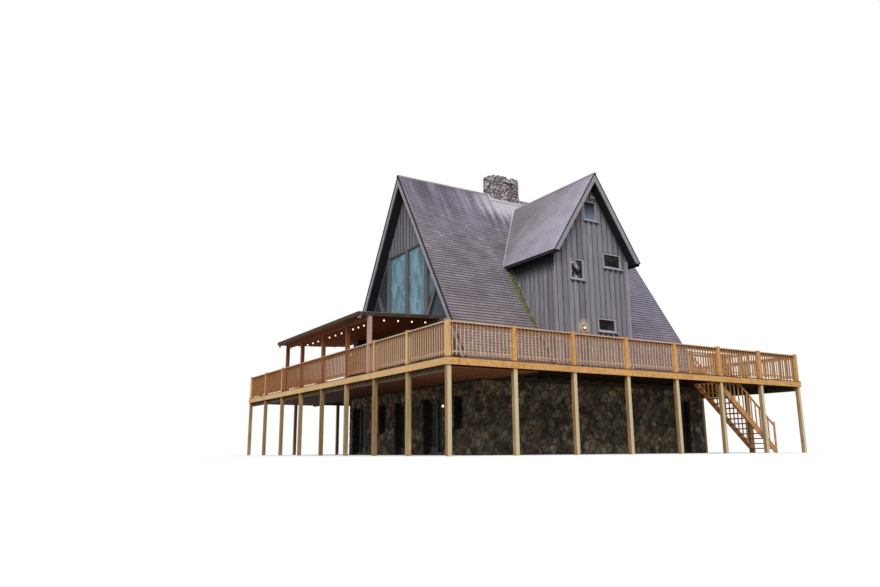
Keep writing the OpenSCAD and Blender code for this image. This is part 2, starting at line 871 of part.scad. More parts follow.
// Height of the porch roof's underside
function porch_under(y) = porch_z - porch_t + porch_rise * (y - porch_y0) / (porch_y1 - porch_y0);

porch_beam_y0 = post_y[0] - post_w / 2;
porch_beam_y1 = post_y[0] + post_w / 2;
porch_beam_z = porch_under(porch_beam_y0) - porch_beam_h;

// The roof runs back to the gable wall, notched round the main roof's overhang
module porch_roof() {
    color(trim) difference() {
        along_x(porch_post_x[0] - post_w / 2, porch_post_x[4] + post_w / 2)
            polygon([
                [porch_y0, porch_under(porch_y0)], [porch_y1, porch_under(porch_y1)],
                [porch_y1, porch_under(porch_y1) + porch_t],
                [porch_y0, porch_under(porch_y0) + porch_t]]);
        along_y(-rake_y, 0) both_sides() slope_2d();
    }
}

// Posts that stand on the deck in the railing's line, under one beam
module porch_frame() {
    y0 = porch_beam_y0;
    y1 = porch_beam_y1;
    color("saddlebrown") {
        along_x(porch_post_x[0] - post_w / 2, porch_post_x[4] + post_w / 2)
            polygon([
                [y0, porch_beam_z], [y1, porch_beam_z],
                [y1, porch_under(y1) - seat], [y0, porch_under(y0) - seat]]);
        for (x = porch_post_x)
            translate([x - post_w / 2, y0, deck_h]) cube([post_w, post_w, porch_beam_z - deck_h]);
    }
}

socket_r = 12;

module bulb() {
    translate([0, 0, -bulb_drop]) {
        cylinder(r = socket_r, h = bulb_drop);
        sphere(r = bulb_r);
    }
}

// Bulbs along the porch's beam and its two sides, and a spot at each front corner
module porch_lamps() {
    y_front = porch_y0 + 2 * spot_r;
    color("linen") {
        for (i = [1:4], k = [1:3])
            translate([
                porch_post_x[i] - k * (porch_post_x[i] - porch_post_x[i - 1]) / 4, post_y[0], porch_beam_z])
                bulb();
        for (x = [porch_post_x[0], porch_post_x[4]], k = [1:4]) {
            y = post_y[0] + k * (porch_y1 - post_y[0]) / 5;
            translate([x, y, porch_under(y - socket_r)]) bulb();
        }
        for (x = [porch_post_x[0], porch_post_x[4]])
            translate([x, y_front, porch_under(y_front - spot_r) - 2 * spot_r])
                cylinder(r = spot_r, h = 2 * spot_r);
    }
}

frame_y0 = frame_y1 + jamb_d;
frame_x1 = frame_y1 + half_w - half_l;
mullion_x = jamb_w + leaf_zone;

// Frame of a garden door unit, drawn from the hinge jamb
module door_unit_2d() {
    difference() {
        square([door_unit_w, door_h]);
        translate([jamb_w, basement_floor_t])
            square([leaf_zone, door_h - jamb_w - basement_floor_t]);
        translate([mullion_x + jamb_w, basement_floor_t + jamb_w])
            square([door_unit_w - mullion_x - 2 * jamb_w, door_h - 2 * jamb_w - basement_floor_t]);
    }
}

module at_side_leaf() {
    translate([frame_x1, side_door_y + side_door_w / 2 - jamb_w - leaf_gap, 0])
        rotate([0, 0, 90]) mirror([1, 0, 0]) children();
}

// Puts a unit at its place: a flipped one has its hinges on the right
module at_unit(i) {
    flip = i == 0 ? 1 : 0;
    translate([door_unit_x[i], 0, 0]) mirror([flip, 0, 0]) translate([-door_unit_w / 2, 0, 0]) children();
}

module basement_frames() {
    color(dark) {
        for (i = [0:2]) {
            at_unit(i) along_y(-frame_y0, -frame_y1) door_unit_2d();
            at_leaf(i) hinge_halves(false);
        }
        at_side_leaf() hinge_halves(false);
        for (x = low_window_x) along_y(-frame_y0, -frame_y1) difference() {
            translate([x - low_window_w / 2, low_sill_h]) square([low_window_w, door_h - low_sill_h]);
            translate([x - low_window_w / 2 + jamb_w, low_sill_h + jamb_w])
                square([low_window_w - 2 * jamb_w, door_h - low_sill_h - 2 * jamb_w]);
        }
        along_x(frame_x1, frame_x1 + jamb_d) translate([side_door_y - side_door_w / 2, 0]) difference() {
            square([side_door_w, door_h]);
            translate([jamb_w, basement_floor_t])
                square([side_door_w - 2 * jamb_w, door_h - jamb_w - basement_floor_t]);
        }
    }
}

module basement_glass() {
    y0 = -(frame_y0 + frame_y1 + glass_t) / 2;
    color(glass) {
        for (i = [0:2]) at_unit(i) along_y(y0, y0 + glass_t)
            translate([mullion_x + jamb_w, basement_floor_t + jamb_w])
                square([door_unit_w - mullion_x - 2 * jamb_w, door_h - 2 * jamb_w - basement_floor_t]);
        for (x = low_window_x) along_y(y0, y0 + glass_t)
            translate([x - low_window_w / 2 + jamb_w, low_sill_h + jamb_w])
                square([low_window_w - 2 * jamb_w, door_h - low_sill_h - 2 * jamb_w]);
    }
}

leaf_z = basement_floor_t + leaf_gap;
leaf_h = door_h - jamb_w - leaf_gap - leaf_z;
leaf_w = leaf_zone - 2 * leaf_gap;
side_leaf_w = side_door_w - 2 * jamb_w - 2 * leaf_gap;
hinge_r = 7;
hinge_out = 12;
hinge_side = 3;
hinge_h = 100;

hinge_play = 0.3;

// One half of each of the three hinges: the leaf's knuckles stand on the frame's
module hinge_halves(on_leaf) {
    half = hinge_h / 2;
    for (z = [180, leaf_h / 2, leaf_h - 180])
        translate([-hinge_side, 0, leaf_z + z + (on_leaf ? hinge_play : -half)]) {
            translate([0, hinge_out, 0]) cylinder(r = hinge_r, h = half);
            translate([on_leaf ? 0 : -3 * hinge_r, 0, 0]) cube([3 * hinge_r, hinge_out, half]);
        }
}

// A lever handle on each face of the leaf
module handles(w) {
    for (f = [0, 1]) translate([w - 60, f ? 0 : -leaf_t, leaf_z + 950]) mirror([0, 1 - f, 0]) {
        rotate([-90, 0, 0]) cylinder(r = 10, h = 50);
        translate([-110, 35, -10]) cube([120, 15, 20]);
    }
}

low_stile_h = 220;

// A glazed leaf, drawn from its hinge edge along X, with its inner face on the X axis
module glazed_leaf() {
    color(dark) {
        along_y(-leaf_t, 0) translate([0, leaf_z]) difference() {
            square([leaf_w, leaf_h]);
            translate([stile_w, low_stile_h])
                square([leaf_w - 2 * stile_w, leaf_h - low_stile_h - stile_w]);
        }
        hinge_halves(true);
        handles(leaf_w);
    }
}

module leaf_glass() {
    color(glass) along_y(-(leaf_t + glass_t) / 2, -(leaf_t - glass_t) / 2)
        translate([stile_w, leaf_z + low_stile_h])
            square([leaf_w - 2 * stile_w, leaf_h - low_stile_h - stile_w]);
}

module at_leaf(i) {
    at_unit(i) translate([jamb_w + leaf_gap, -frame_y1, 0]) children();
}

module door_left() { at_leaf(0) glazed_leaf(); }
module door_left_glass() { at_leaf(0) leaf_glass(); }
module door_middle() { at_leaf(1) glazed_leaf(); }
module door_middle_glass() { at_leaf(1) leaf_glass(); }
module door_right() { at_leaf(2) glazed_leaf(); }
module door_right_glass() { at_leaf(2) leaf_glass(); }

// Boarded leaf in the right wall, hinged at its far edge
module side_door() {
    color(dark) at_side_leaf() {
        along_y(-leaf_t, 0) translate([0, leaf_z]) square([side_leaf_w, leaf_h]);
        hinge_halves(true);
        handles(side_leaf_w);
    }
}

// Lanterns beside the right garden door and on each cross gable, and a twin spot on each of these
module wall_lamps() {
    right_unit_end = door_unit_x[2] + door_unit_w / 2;
    color("dimgray") {
        translate([right_unit_end + lantern_gap, -half_l - lantern[1], door_h - 2 * lantern[2] - 20])
            cube(lantern);
        both_sides() translate([dormer_face, dormer_y, 0]) {
            translate([0, -lantern_y, deck_h + lantern_up]) cube([lantern[1], lantern[0], lantern[2]]);
            translate([0, spot_r, dormer_ridge_z - spot_drop]) {
                cube([1.5 * spot_r, 3 * spot_r, 2 * spot_r]);
                for (y = [0, 3 * spot_r]) translate([1.5 * spot_r, y, spot_r])
                    rotate([0, 90, 0]) cylinder(r = spot_r, h = 2 * spot_r);
            }
        }
    }
}

basement_floor();
front_stone_piers();
stone_lintels();
stone_sills();
right_stone_wall();
left_stone_wall();
back_stone_wall();
main_floor();
upper_floors();
roof_right_front();
roof_right_back();
roof_left_front();
roof_left_back();
gable_walls();
gable_frames();
gable_glass();
rake_boards();
ridge_caps();
chimney();
dormer_walls();
dormer_cheeks();
dormer_roof_right();
dormer_roof_left();
dormer_windows();
dormer_glass();
decking();
deck_joists();
rim_joists();
deck_beams();
deck_fascia();
deck_posts();
deck_ceiling();
railing_front();
railing_right();
railing_back();
railing_left();
stairwell_railing();
stair_stringers();
stair_treads();
stair_handrails();
porch_roof();
porch_frame();
porch_lamps();
basement_frames();
basement_glass();
wall_lamps();
door_left();
door_left_glass();
door_middle();
door_middle_glass();
door_right();
door_right_glass();
side_door();
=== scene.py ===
import math
import random

import bmesh
import bpy
from mathutils import Matrix, Vector, kdtree


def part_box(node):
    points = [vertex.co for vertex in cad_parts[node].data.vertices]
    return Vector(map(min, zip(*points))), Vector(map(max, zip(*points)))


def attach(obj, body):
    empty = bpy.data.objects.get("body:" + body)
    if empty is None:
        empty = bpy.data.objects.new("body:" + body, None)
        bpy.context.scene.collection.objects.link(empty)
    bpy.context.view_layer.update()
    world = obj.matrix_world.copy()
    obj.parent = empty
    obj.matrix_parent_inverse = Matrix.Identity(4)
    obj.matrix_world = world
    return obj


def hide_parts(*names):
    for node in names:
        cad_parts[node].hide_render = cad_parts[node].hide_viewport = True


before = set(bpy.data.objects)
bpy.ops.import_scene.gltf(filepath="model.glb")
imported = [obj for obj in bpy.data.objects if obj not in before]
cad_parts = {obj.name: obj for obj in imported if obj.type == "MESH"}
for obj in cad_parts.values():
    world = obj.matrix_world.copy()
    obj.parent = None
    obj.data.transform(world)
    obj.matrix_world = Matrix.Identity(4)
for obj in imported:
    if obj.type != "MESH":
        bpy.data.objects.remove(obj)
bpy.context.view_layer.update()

# The view: ankle high before the right-hand front corner, through a wide lens that is tipped
# up a little and rolled a third of a degree.
lens = bpy.data.cameras.new("camera")
lens.sensor_width = 36
lens.lens = 29.48
lens.clip_end = 800
camera = bpy.data.objects.new("camera", lens)
EYE = Matrix.Translation((26.068, -19.737, 0.148))
TURN = Matrix.Rotation(math.radians(58.798), 4, "Z")
TILT = Matrix.Rotation(math.radians(102.333), 4, "X")
ROLL = Matrix.Rotation(math.radians(-0.358), 4, "Z")
camera.matrix_world = EYE @ (TURN @ TILT) @ ROLL
bpy.context.scene.collection.objects.link(camera)
bpy.context.scene.camera = camera
bpy.context.scene.view_settings.view_transform = "Standard"

# The studio: an even white sky that lights softly from all round, a broad lamp high over the
# front right corner, and a pale floor that keeps the shadow and throws little light up under the
# deck.


def linear(colour):
    """The linear value of an sRGB hex colour."""
    parts = [int(colour[i:i + 2], 16) / 255 for i in (1, 3, 5)]
    return [p / 12.92 if p <= 0.04045 else ((p + 0.055) / 1.055) ** 2.4 for p in parts] + [1.0]


def add(tree, kind, inputs=None, stops=None, **settings):
    """Add a shader node with its settings, colour stops and inputs. An input takes a value, a hex
    colour, a socket, or a node for its first output. A Mix of inputs 6 and 7 mixes colours."""
    made = tree.nodes.new("ShaderNode" + kind)
    if kind == "Mix" and 6 in inputs:
        made.data_type = "RGBA"
    for name, value in settings.items():
        setattr(made, name, value)
    for i, (position, colour) in enumerate(stops or []):
        element = made.color_ramp.elements[i] if i < 2 else made.color_ramp.elements.new(position)
        element.position = position
        element.color = linear(colour)
    for socket, value in (inputs or {}).items():
        if isinstance(value, str):
            value = linear(value)
        if isinstance(value, bpy.types.Node):
            value = next(out for out in value.outputs if out.enabled)
        if isinstance(value, bpy.types.NodeSocket):
            tree.links.new(value, made.inputs[socket])
        else:
            made.inputs[socket].default_value = value
    return made


world = bpy.data.worlds.new("studio_sky")
bpy.context.scene.world = world
world.use_nodes = True
sky = world.node_tree
sky.nodes.clear()
rays = add(sky, "LightPath")
seen = add(sky, "Math", {
    0: rays.outputs["Is Camera Ray"], 1: rays.outputs["Is Glossy Ray"]}, operation="MAXIMUM")
seen = add(sky, "Math", {0: seen, 1: rays.outputs["Is Transmission Ray"]}, operation="MAXIMUM")
soft = add(sky, "Background", {"Color": "#f3f6ff", "Strength": 0.75})
white = add(sky, "Background", {"Color": "#ffffff", "Strength": 1.0})
both = add(sky, "MixShader", {0: seen, 1: soft, 2: white})
add(sky, "OutputWorld", {"Surface": both})

lamp = bpy.data.lights.new("soft_lamp", "SUN")
lamp.energy = 1.7
lamp.angle = math.radians(32)
lamp_holder = bpy.data.objects.new("soft_lamp", lamp)
lamp_holder.rotation_mode = "QUATERNION"
lamp_holder.rotation_quaternion = Vector((0.55, -0.5, 0.67)).to_track_quat("Z", "Y")
bpy.context.scene.collection.objects.link(lamp_holder)

studio = bpy.data.materials.new("studio_floor")
studio.use_nodes = True
tree = studio.node_tree
tree.nodes.clear()
rays = add(tree, "LightPath")
dull = add(tree, "BsdfDiffuse", {"Color": "#807f78"})
pale = add(tree, "BsdfDiffuse", {"Color": "#e6e6e4"})
glow = add(tree, "Emission", {"Color": "#ffffff", "Strength": 0.22})
lit = add(tree, "AddShader", {0: pale, 1: glow})
shown = add(tree, "MixShader", {0: rays.outputs["Is Camera Ray"], 1: dull, 2: lit})
add(tree, "OutputMaterial", {"Surface": shown})
bm = bmesh.new()
below = Matrix.Translation((0, 0, -0.002))
bmesh.ops.create_circle(bm, cap_ends=True, segments=96, radius=400, matrix=below)
disc = bpy.data.meshes.new("studio_floor")
bm.to_mesh(disc)
bm.free()
disc.materials.append(studio)
floor = bpy.data.objects.new("studio_floor", disc)
bpy.context.scene.collection.objects.link(floor)

# Basement walls: fieldstone laid as rubble, brown, buff and green-grey, in deep joints. Each
# face is a sheet of stones that stand a little proud of the wall's solid and differ in colour.
HALF_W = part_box("back_stone_wall")[1].x
HALF_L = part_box("back_stone_wall")[1].y
WALL_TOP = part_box("back_stone_wall")[1].z
DOOR_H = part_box("front_stone_piers")[1].z


def finish_named(name):
    """A new material, its empty node tree, and a point's place on the object."""
    made = bpy.data.materials.new(name)
    made.use_nodes = True
    made.node_tree.nodes.clear()
    return made, made.node_tree, add(made.node_tree, "TexCoord").outputs["Object"]


def surface(tree, colour, roughness, relief=None, strength=0, depth=0, more={}):
    """End a material: its surface, and a relief whose depth is given in metres."""
    inputs = {"Base Color": colour, "Roughness": roughness, **more}
    if relief:
        inputs["Normal"] = add(
            tree, "Bump", {"Height": relief, "Strength": strength, "Distance": depth})
    add(tree, "OutputMaterial", {"Surface": add(tree, "BsdfPrincipled", inputs)})


def dress(material, *names):
    """Give CAD nodes a material."""
    for name in names:
        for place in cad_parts[name].material_slots:
            place.material = material


def fix(name, bm, material, body="house"):
    """Make a piece of a finished bmesh and fix it to a body."""
    mesh = bpy.data.meshes.new(name)
    bm.to_mesh(mesh)
    bm.free()
    mesh.materials.append(material)
    piece = bpy.data.objects.new(name, mesh)
    bpy.context.scene.collection.objects.link(piece)
    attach(piece, body)
    return piece


# A joint's half width, a stone's rounded shoulder, and how far a joint stands off the solid
HALF_JOINT = 0.006
SHOULDER = 0.034
JOINT_FACE = 0.004


def rubble(name, width, height, place, holes, material, stone, seed, depth=0.03, step=0.034):
    """A sheet of fieldstones over a wall face, drawn from its lower left corner, with openings."""
    rng = random.Random(seed)
    columns = math.ceil(width / stone[0]) + 2
    rows = math.ceil(height / stone[1]) + 2
    tree_of_stones = kdtree.KDTree(columns * rows)
    stones = []
    squash = stone[0] / stone[1]
    for i in range(columns):
        for j in range(rows):
            u = (i - 0.75 + rng.uniform(-0.44, 0.44) + 0.5 * (j % 2)) * stone[0]
            v = (j - 0.5 + rng.uniform(-0.46, 0.46)) * stone[1]
            tree_of_stones.insert((u, v * squash, 0), len(stones))
            value, proud = rng.random(), rng.uniform(-0.4, 0.3)
            lean = (rng.uniform(-0.05, 0.05), rng.uniform(-0.05, 0.05))
            stones.append((value, proud, lean, u, v))
    tree_of_stones.balance()
    bm = bmesh.new()
    tone = bm.verts.layers.float.new("tone")
    joint = bm.verts.layers.float.new("joint")
    across = max(2, round(width / step))
    up = max(2, round(height / step))
    sheet = Matrix.Translation((width / 2, height / 2, 0)) @ Matrix.Diagonal((width, height, 1, 1))
    bmesh.ops.create_grid(bm, x_segments=across, y_segments=up, size=0.5, matrix=sheet)
    sides = [(0, edge) for hole in holes for edge in (hole[0], hole[1])]
    sides += [(1, edge) for hole in holes for edge in (hole[2], hole[3])]
    reach = (width / across / 2, height / up / 2)
    for v in bm.verts:
        for axis, edge in sides:
            if abs(v.co[axis] - edge) <= reach[axis]:
                v.co[axis] = edge
    gone = []
    for f in bm.faces:
        middle = f.calc_center_median()
        f.smooth = True
        if any(h[0] < middle.x < h[1] and h[2] < middle.y < h[3] for h in holes):
            gone.append(f)
    bmesh.ops.delete(bm, geom=gone, context="FACES")
    for v in bm.verts:
        near = tree_of_stones.find_n((v.co.x, v.co.y * squash, 0), 2)
        from_joint = (near[1][2] - near[0][2]) / 2
        full = min(max((from_joint - HALF_JOINT) / SHOULDER, 0), 1)
        full = full * full * (3 - 2 * full)
        value, proud, lean, middle_x, middle_y = stones[near[0][1]]
        tilt = lean[0] * (v.co.x - middle_x) + lean[1] * (v.co.y - middle_y)
        v[tone] = value
        v[joint] = full
        v.co.z = JOINT_FACE + depth * full * (0.7 + proud) + tilt * full
    rim = [e for e in bm.edges if e.is_boundary]
    for part in bmesh.ops.extrude_edge_only(bm, edges=rim)["geom"]:
        if isinstance(part, bmesh.types.BMVert):
            part.co.z = -0.02
    bmesh.ops.recalc_face_normals(bm, faces=bm.faces)
    bmesh.ops.transform(bm, matrix=place, verts=bm.verts)
    fix(name, bm, material)


def facing(corner, right, up=(0, 0, 1)):
    """A place whose X runs right along a face and whose Y runs up it, seen from outside."""
    x = Vector(right).normalized()
    y = Vector(up).normalized()
    z = x.cross(y)
    return Matrix((
        (x.x, y.x, z.x, corner[0]), (x.y, y.y, z.y, corner[1]), (x.z, y.z, z.z, corner[2]),
        (0, 0, 0, 1)))


# Sandstone and gneiss picked from the field: angular dull faces that differ stone by stone,
# lichen blotches and dark recessed joints, with painted light that brightens the stones high up
# under the deck. The grain is drawn two centimetres coarse, because its real few millimetres
# would not show.
fieldstone, tree, where = finish_named("rubble_fieldstone")
tone = add(tree, "Attribute", attribute_name="tone").outputs["Fac"]
joint = add(tree, "Attribute", attribute_name="joint").outputs["Fac"]
body = add(tree, "ValToRGB", {0: tone}, [
    (0.0, "#544e41"), (0.14, "#948266"), (0.28, "#b3a07c"), (0.42, "#727465"), (0.56, "#ad8f6a"),
    (0.7, "#6b5645"), (0.84, "#bdb7a0"), (1.0, "#565545")])
blotch = add(tree, "TexNoise", {"Vector": where, "Scale": 9.0, "Detail": 8.0, "Roughness": 0.65})
shade = add(tree, "ValToRGB", {0: blotch}, [(0.3, "#6f6c66"), (0.5, "#c8c4ba"), (0.72, "#ffffff")])
stained = add(tree, "Mix", {0: 0.85, 6: body, 7: shade}, blend_type="MULTIPLY")
green = add(tree, "TexNoise", {"Vector": where, "Scale": 1.1, "Detail": 5.0})
damp = add(tree, "ValToRGB", {0: green}, [(0.45, "#000000"), (0.7, "#707070")])
mossed = add(tree, "Mix", {0: damp, 6: stained, 7: "#4c5236"})
patch = add(tree, "TexNoise", {"Vector": where, "Scale": 2.3, "Detail": 4.0, "Distortion": 0.8})
grimy = add(tree, "ValToRGB", {0: patch}, [(0.38, "#85827d"), (0.58, "#ffffff")])
mossed = add(tree, "Mix", {0: 1.0, 6: mossed, 7: grimy}, blend_type="MULTIPLY")
mortar = add(tree, "MapRange", {0: joint, 1: 0.05, 2: 0.5})
jointed = add(tree, "Mix", {0: mortar, 6: "#37322a", 7: mossed})
x, y, z = add(tree, "SeparateXYZ", {0: where}).outputs
# painted light: the stones brighten towards the top of the wall
top_painted_light = add(tree, "MapRange", {0: z, 1: 1.7, 2: 2.5, 3: 1.0, 4: 2.1})
top_painted_light = add(tree, "CombineColor", {0: top_painted_light, 1: top_painted_light, 2: top_painted_light})
colour = add(tree, "Mix", {0: 1.0, 6: jointed, 7: top_painted_light}, blend_type="MULTIPLY", clamp_result=False)
grit = add(tree, "TexNoise", {"Vector": where, "Scale": 42.0, "Detail": 6.0, "Roughness": 0.7})
surface(tree, colour, 0.9, grit, 0.7, 0.012)

dress(fieldstone, "front_stone_piers", "stone_lintels", "stone_sills", "right_stone_wall",
      "left_stone_wall", "back_stone_wall")
DOORS = [(-5.13, -3.73), (-0.95, 0.45), (1.44, 2.84)]
LOW_WINDOWS = [(-2.41, -1.77), (3.66, 4.30)]
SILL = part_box("stone_sills")[1].z
SIDE_DOORS = [(3.955, 4.815)]
EDGE = 0.012  # stones stand this much past a wall's corner
front_holes = [(a + HALF_W + EDGE, b + HALF_W + EDGE, -1, DOOR_H) for a, b in DOORS]
front_holes += [(a + HALF_W + EDGE, b + HALF_W + EDGE, SILL, DOOR_H) for a, b in LOW_WINDOWS]
side_holes = [(a + HALF_L + EDGE, b + HALF_L + EDGE, -1, DOOR_H) for a, b in SIDE_DOORS]
LONG = 2 * (HALF_L + EDGE)
WIDE = 2 * (HALF_W + EDGE)
WALL_STONE = (0.31, 0.26)
for number, (side, across, corner, right, holes) in enumerate([
        ("front", WIDE, (-HALF_W - EDGE, -HALF_L, 0), (1, 0, 0), front_holes),
        ("right", LONG, (HALF_W, -HALF_L - EDGE, 0), (0, 1, 0), side_holes),
        ("back", WIDE, (HALF_W + EDGE, HALF_L, 0), (-1, 0, 0), []),
        ("left", LONG, (-HALF_W, HALF_L + EDGE, 0), (0, -1, 0), [])]):
    rubble(side + "_wall_stones", across, WALL_TOP, facing(corner, right), holes,
           fieldstone, WALL_STONE, 11 + number)

# Basement slab: cast concrete, trowelled smooth and left grey, with faint cloudy stains. Its
# pores are drawn a centimetre wide, because real ones would not show.
concrete, tree, where = finish_named("trowelled_concrete")
cloud = add(tree, "TexNoise", {"Vector": where, "Scale": 1.4, "Detail": 7.0})
colour = add(tree, "ValToRGB", {0: cloud}, [(0.3, "#77746d"), (0.7, "#96928a")])
pores = add(tree, "TexNoise", {"Vector": where, "Scale": 90.0})
surface(tree, colour, 0.8, pores, 0.3, 0.004)
dress(concrete, "basement_floor")

# Floors: sawn spruce joists and boards inside, and the floor's edge above the stone walls,
# dull brown timber that daylight hardly reaches


def plain_finish(name, stops, noise, roughness, strength, depth, stretch=None, more={}):
    """A finish of one grain, which mottles its colours and gives its relief."""
    made, tree, where = finish_named(name)
    if stretch:
        where = add(tree, "Mapping", {"Vector": where, "Scale": stretch})
    grain = add(tree, "TexNoise", {"Vector": where, **noise})
    surface(tree, add(tree, "ValToRGB", {0: grain}, stops), roughness, grain, strength, depth, more)
    return made


floor_timber = plain_finish(
    "sawn_spruce", [(0.3, "#4a3a2a"), (0.7, "#6f5a42")], {"Scale": 3.0, "Detail": 6.0},
    0.8, 0.3, 0.003, stretch=(1.0, 14.0, 14.0))
dress(floor_timber, "main_floor", "upper_floors")

# Main roof: three-tab asphalt shingles nailed in courses that show 143 mm, each tab 305 mm
# wide and a thin board thick at its lower edge, over a dark boarded soffit.
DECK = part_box("main_floor")[1].z
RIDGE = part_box("roof_right_front")[1].z
EAVE_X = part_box("roof_right_front")[1].x
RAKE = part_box("rake_boards")[1].y
SLOPE = math.hypot(EAVE_X, RIDGE - DECK)
UP_X = EAVE_X / SLOPE
UP_Z = (RIDGE - DECK) / SLOPE
RUN = EAVE_X / (RIDGE - DECK)
SHOWN = 0.143  # a course
TAB = 0.305
SOFFIT_BOARD = 0.14
CHIMNEY_LOW, CHIMNEY_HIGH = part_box("chimney")
CHIMNEY_Y = (CHIMNEY_LOW.y + CHIMNEY_HIGH.y) / 2
low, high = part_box("dormer_roof_right")
GABLE_Y = (low.y + high.y) / 2
GABLE_HALF = (high.y - low.y) / 2
GABLE_RIDGE = high.z
GABLE_EAVE = low.z
GABLE_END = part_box("rake_boards")[1].x
GABLE_RUN = GABLE_HALF / (GABLE_RIDGE - GABLE_EAVE)
WALL_HALF = (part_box("dormer_walls")[1].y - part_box("dormer_walls")[0].y) / 2


def shingle(name, place, length, runs, seed, bleach):
    """Lay courses of shingle tabs up a slope. Runs gives the stretches that a course covers."""
    rng = random.Random(seed)
    bm = bmesh.new()
    tone = bm.verts.layers.float.new("tone")
    up = bm.verts.layers.float.new("up")
    worn = bm.verts.layers.float.new("worn")
    for course in range(math.ceil(length / SHOWN)):
        foot = course * SHOWN
        head = min(foot + SHOWN + 0.05, length)
        tilt = Matrix.Rotation(math.atan2(-0.009, head - foot), 4, "X")
        drift = rng.uniform(-0.012, 0.012)
        lift = rng.uniform(-0.003, 0.003)
        for left, right in runs(head):
            x = math.floor(left / TAB) * TAB - TAB / 2 * (course % 2) + drift
            while x < right:
                a = max(x, left)
                b = min(x + TAB, right)
                if b - a > 0.03:
                    size = Matrix.Diagonal((b - a - 0.007, head - foot, 0.008, 1))
                    middle = Matrix.Translation(((a + b) / 2, (foot + head) / 2 + lift, 0.0095))
                    tab = bmesh.ops.create_cube(bm, size=1, matrix=middle @ tilt @ size)["verts"]
                    value = rng.random()
                    for v in tab:
                        v[tone] = value
                        v[up] = (v.co.y - foot) / SHOWN
                        v[worn] = bleach
                x += TAB
    bmesh.ops.transform(bm, matrix=place, verts=bm.verts)
    fix(name, bm, shingles)


# Asphalt shingles with mineral grit: matt purplish grey-brown, each tab a little lighter or
# darker, with a painted shadow under each course's butt. Rain has washed pale streaks down
# from the ridge and bleached the cross gables to lavender, and lime has run down below the
# chimney. The grit is drawn a centimetre coarse, because its real millimetre would not show.
shingles, tree, where = finish_named("asphalt_shingles")
x, y, z = add(tree, "SeparateXYZ", {0: where}).outputs
tone = add(tree, "Attribute", attribute_name="tone").outputs["Fac"]
up = add(tree, "Attribute", attribute_name="up").outputs["Fac"]
worn = add(tree, "Attribute", attribute_name="worn").outputs["Fac"]
main = add(tree, "MapRange", {0: worn, 1: 0.5, 2: 0.0})
body = add(tree, "ValToRGB", {0: tone}, [
    (0.0, "#8b838a"), (0.3, "#948c94"), (0.6, "#9e959d"), (0.85, "#90888d"), (1.0, "#aba2ab")])
# browner near the eaves and paler far back
foot = add(tree, "MapRange", {0: z, 1: 7.5, 2: 3.5, 4: 0.6})
brown = add(tree, "Mix", {0: foot, 6: body, 7: "#ab9d99"})
far = add(tree, "MapRange", {0: y, 1: 0.5, 2: 2.0, 4: 0.7})
browned = add(tree, "Mix", {0: far, 6: brown, 7: "#9790a3"})
# wash streaks that start at the ridge
run = add(tree, "Mapping", {"Vector": where, "Scale": (0.0, 4.5, 0.3)})
wash = add(tree, "TexNoise", {"Vector": run, "Scale": 1.0, "Detail": 6.0, "Roughness": 0.68})
broad = add(tree, "TexNoise", {"Vector": run, "Scale": 0.24, "Detail": 2.0})
patchy = add(tree, "Math", {0: broad, 1: 0.35, 2: wash}, operation="MULTIPLY_ADD")
streak = add(tree, "ValToRGB", {0: patchy}, [(0.555, "#665c6c"), (0.675, "#817686"), (0.8, "#a89db0")])
band = add(tree, "MapRange", {0: z, 1: 8.8, 2: 11.0, 4: 0.85})
band = add(tree, "Math", {0: band, 1: main}, operation="MULTIPLY")
washed = add(tree, "Mix", {0: band, 6: browned, 7: streak})
# the cross gables' bleached lavender, with pale flecks, and the plain grey ridge caps
aside = add(tree, "Math", {0: x}, operation="ABSOLUTE")
out = add(tree, "Math", {0: aside, 1: 0.5, 2: 1.9}, operation="MULTIPLY_ADD")
out = add(tree, "Math", {0: z, 1: -0.25, 2: out}, operation="MULTIPLY_ADD")
bleach = add(tree, "MapRange", {0: out, 1: 0.6, 2: 2.6})
lavender = add(tree, "ValToRGB", {0: bleach}, [(0.0, "#958d92"), (1.0, "#cec7d6")])
speck = add(tree, "TexNoise", {"Vector": where, "Scale": 24.0, "Detail": 3.0})
light = add(tree, "MapRange", {0: speck, 1: 0.56, 2: 0.72, 4: 0.5})
flecked = add(tree, "Mix", {0: light, 6: lavender, 7: "#dcd7e2"})
fade = add(tree, "MapRange", {0: worn, 1: 0.0, 2: 1.0, 4: 0.8})
bleached = add(tree, "Mix", {0: fade, 6: washed, 7: flecked})
cap = add(tree, "MapRange", {0: worn, 1: 1.0, 2: 2.0})
capped = add(tree, "Mix", {0: cap, 6: bleached, 7: "#a5a09c"})
blotch = add(tree, "TexNoise", {"Vector": where, "Scale": 0.9, "Detail": 5.0})
dull = add(tree, "ValToRGB", {0: blotch}, [(0.35, "#dcd8db"), (0.65, "#ffffff")])
mottled = add(tree, "Mix", {0: 1.0, 6: capped, 7: dull}, blend_type="MULTIPLY")
# painted shadow: a dark line under each course's butt, cast onto the course below
shadow = add(tree, "ValToRGB", {0: up}, [
    (0.0, "#ffffff"), (0.55, "#f2f2f2"), (0.75, "#98949a"), (1.0, "#5d595f")])
depth = add(tree, "MapRange", {0: z, 1: 10.5, 2: 7.0, 3: 0.45, 4: 1.0})
slight = add(tree, "MapRange", {0: worn, 1: 0.0, 2: 1.0, 3: 1.0, 4: 0.4})
depth = add(tree, "Math", {0: depth, 1: slight}, operation="MULTIPLY")
coursed = add(tree, "Mix", {0: depth, 6: mottled, 7: shadow}, blend_type="MULTIPLY")
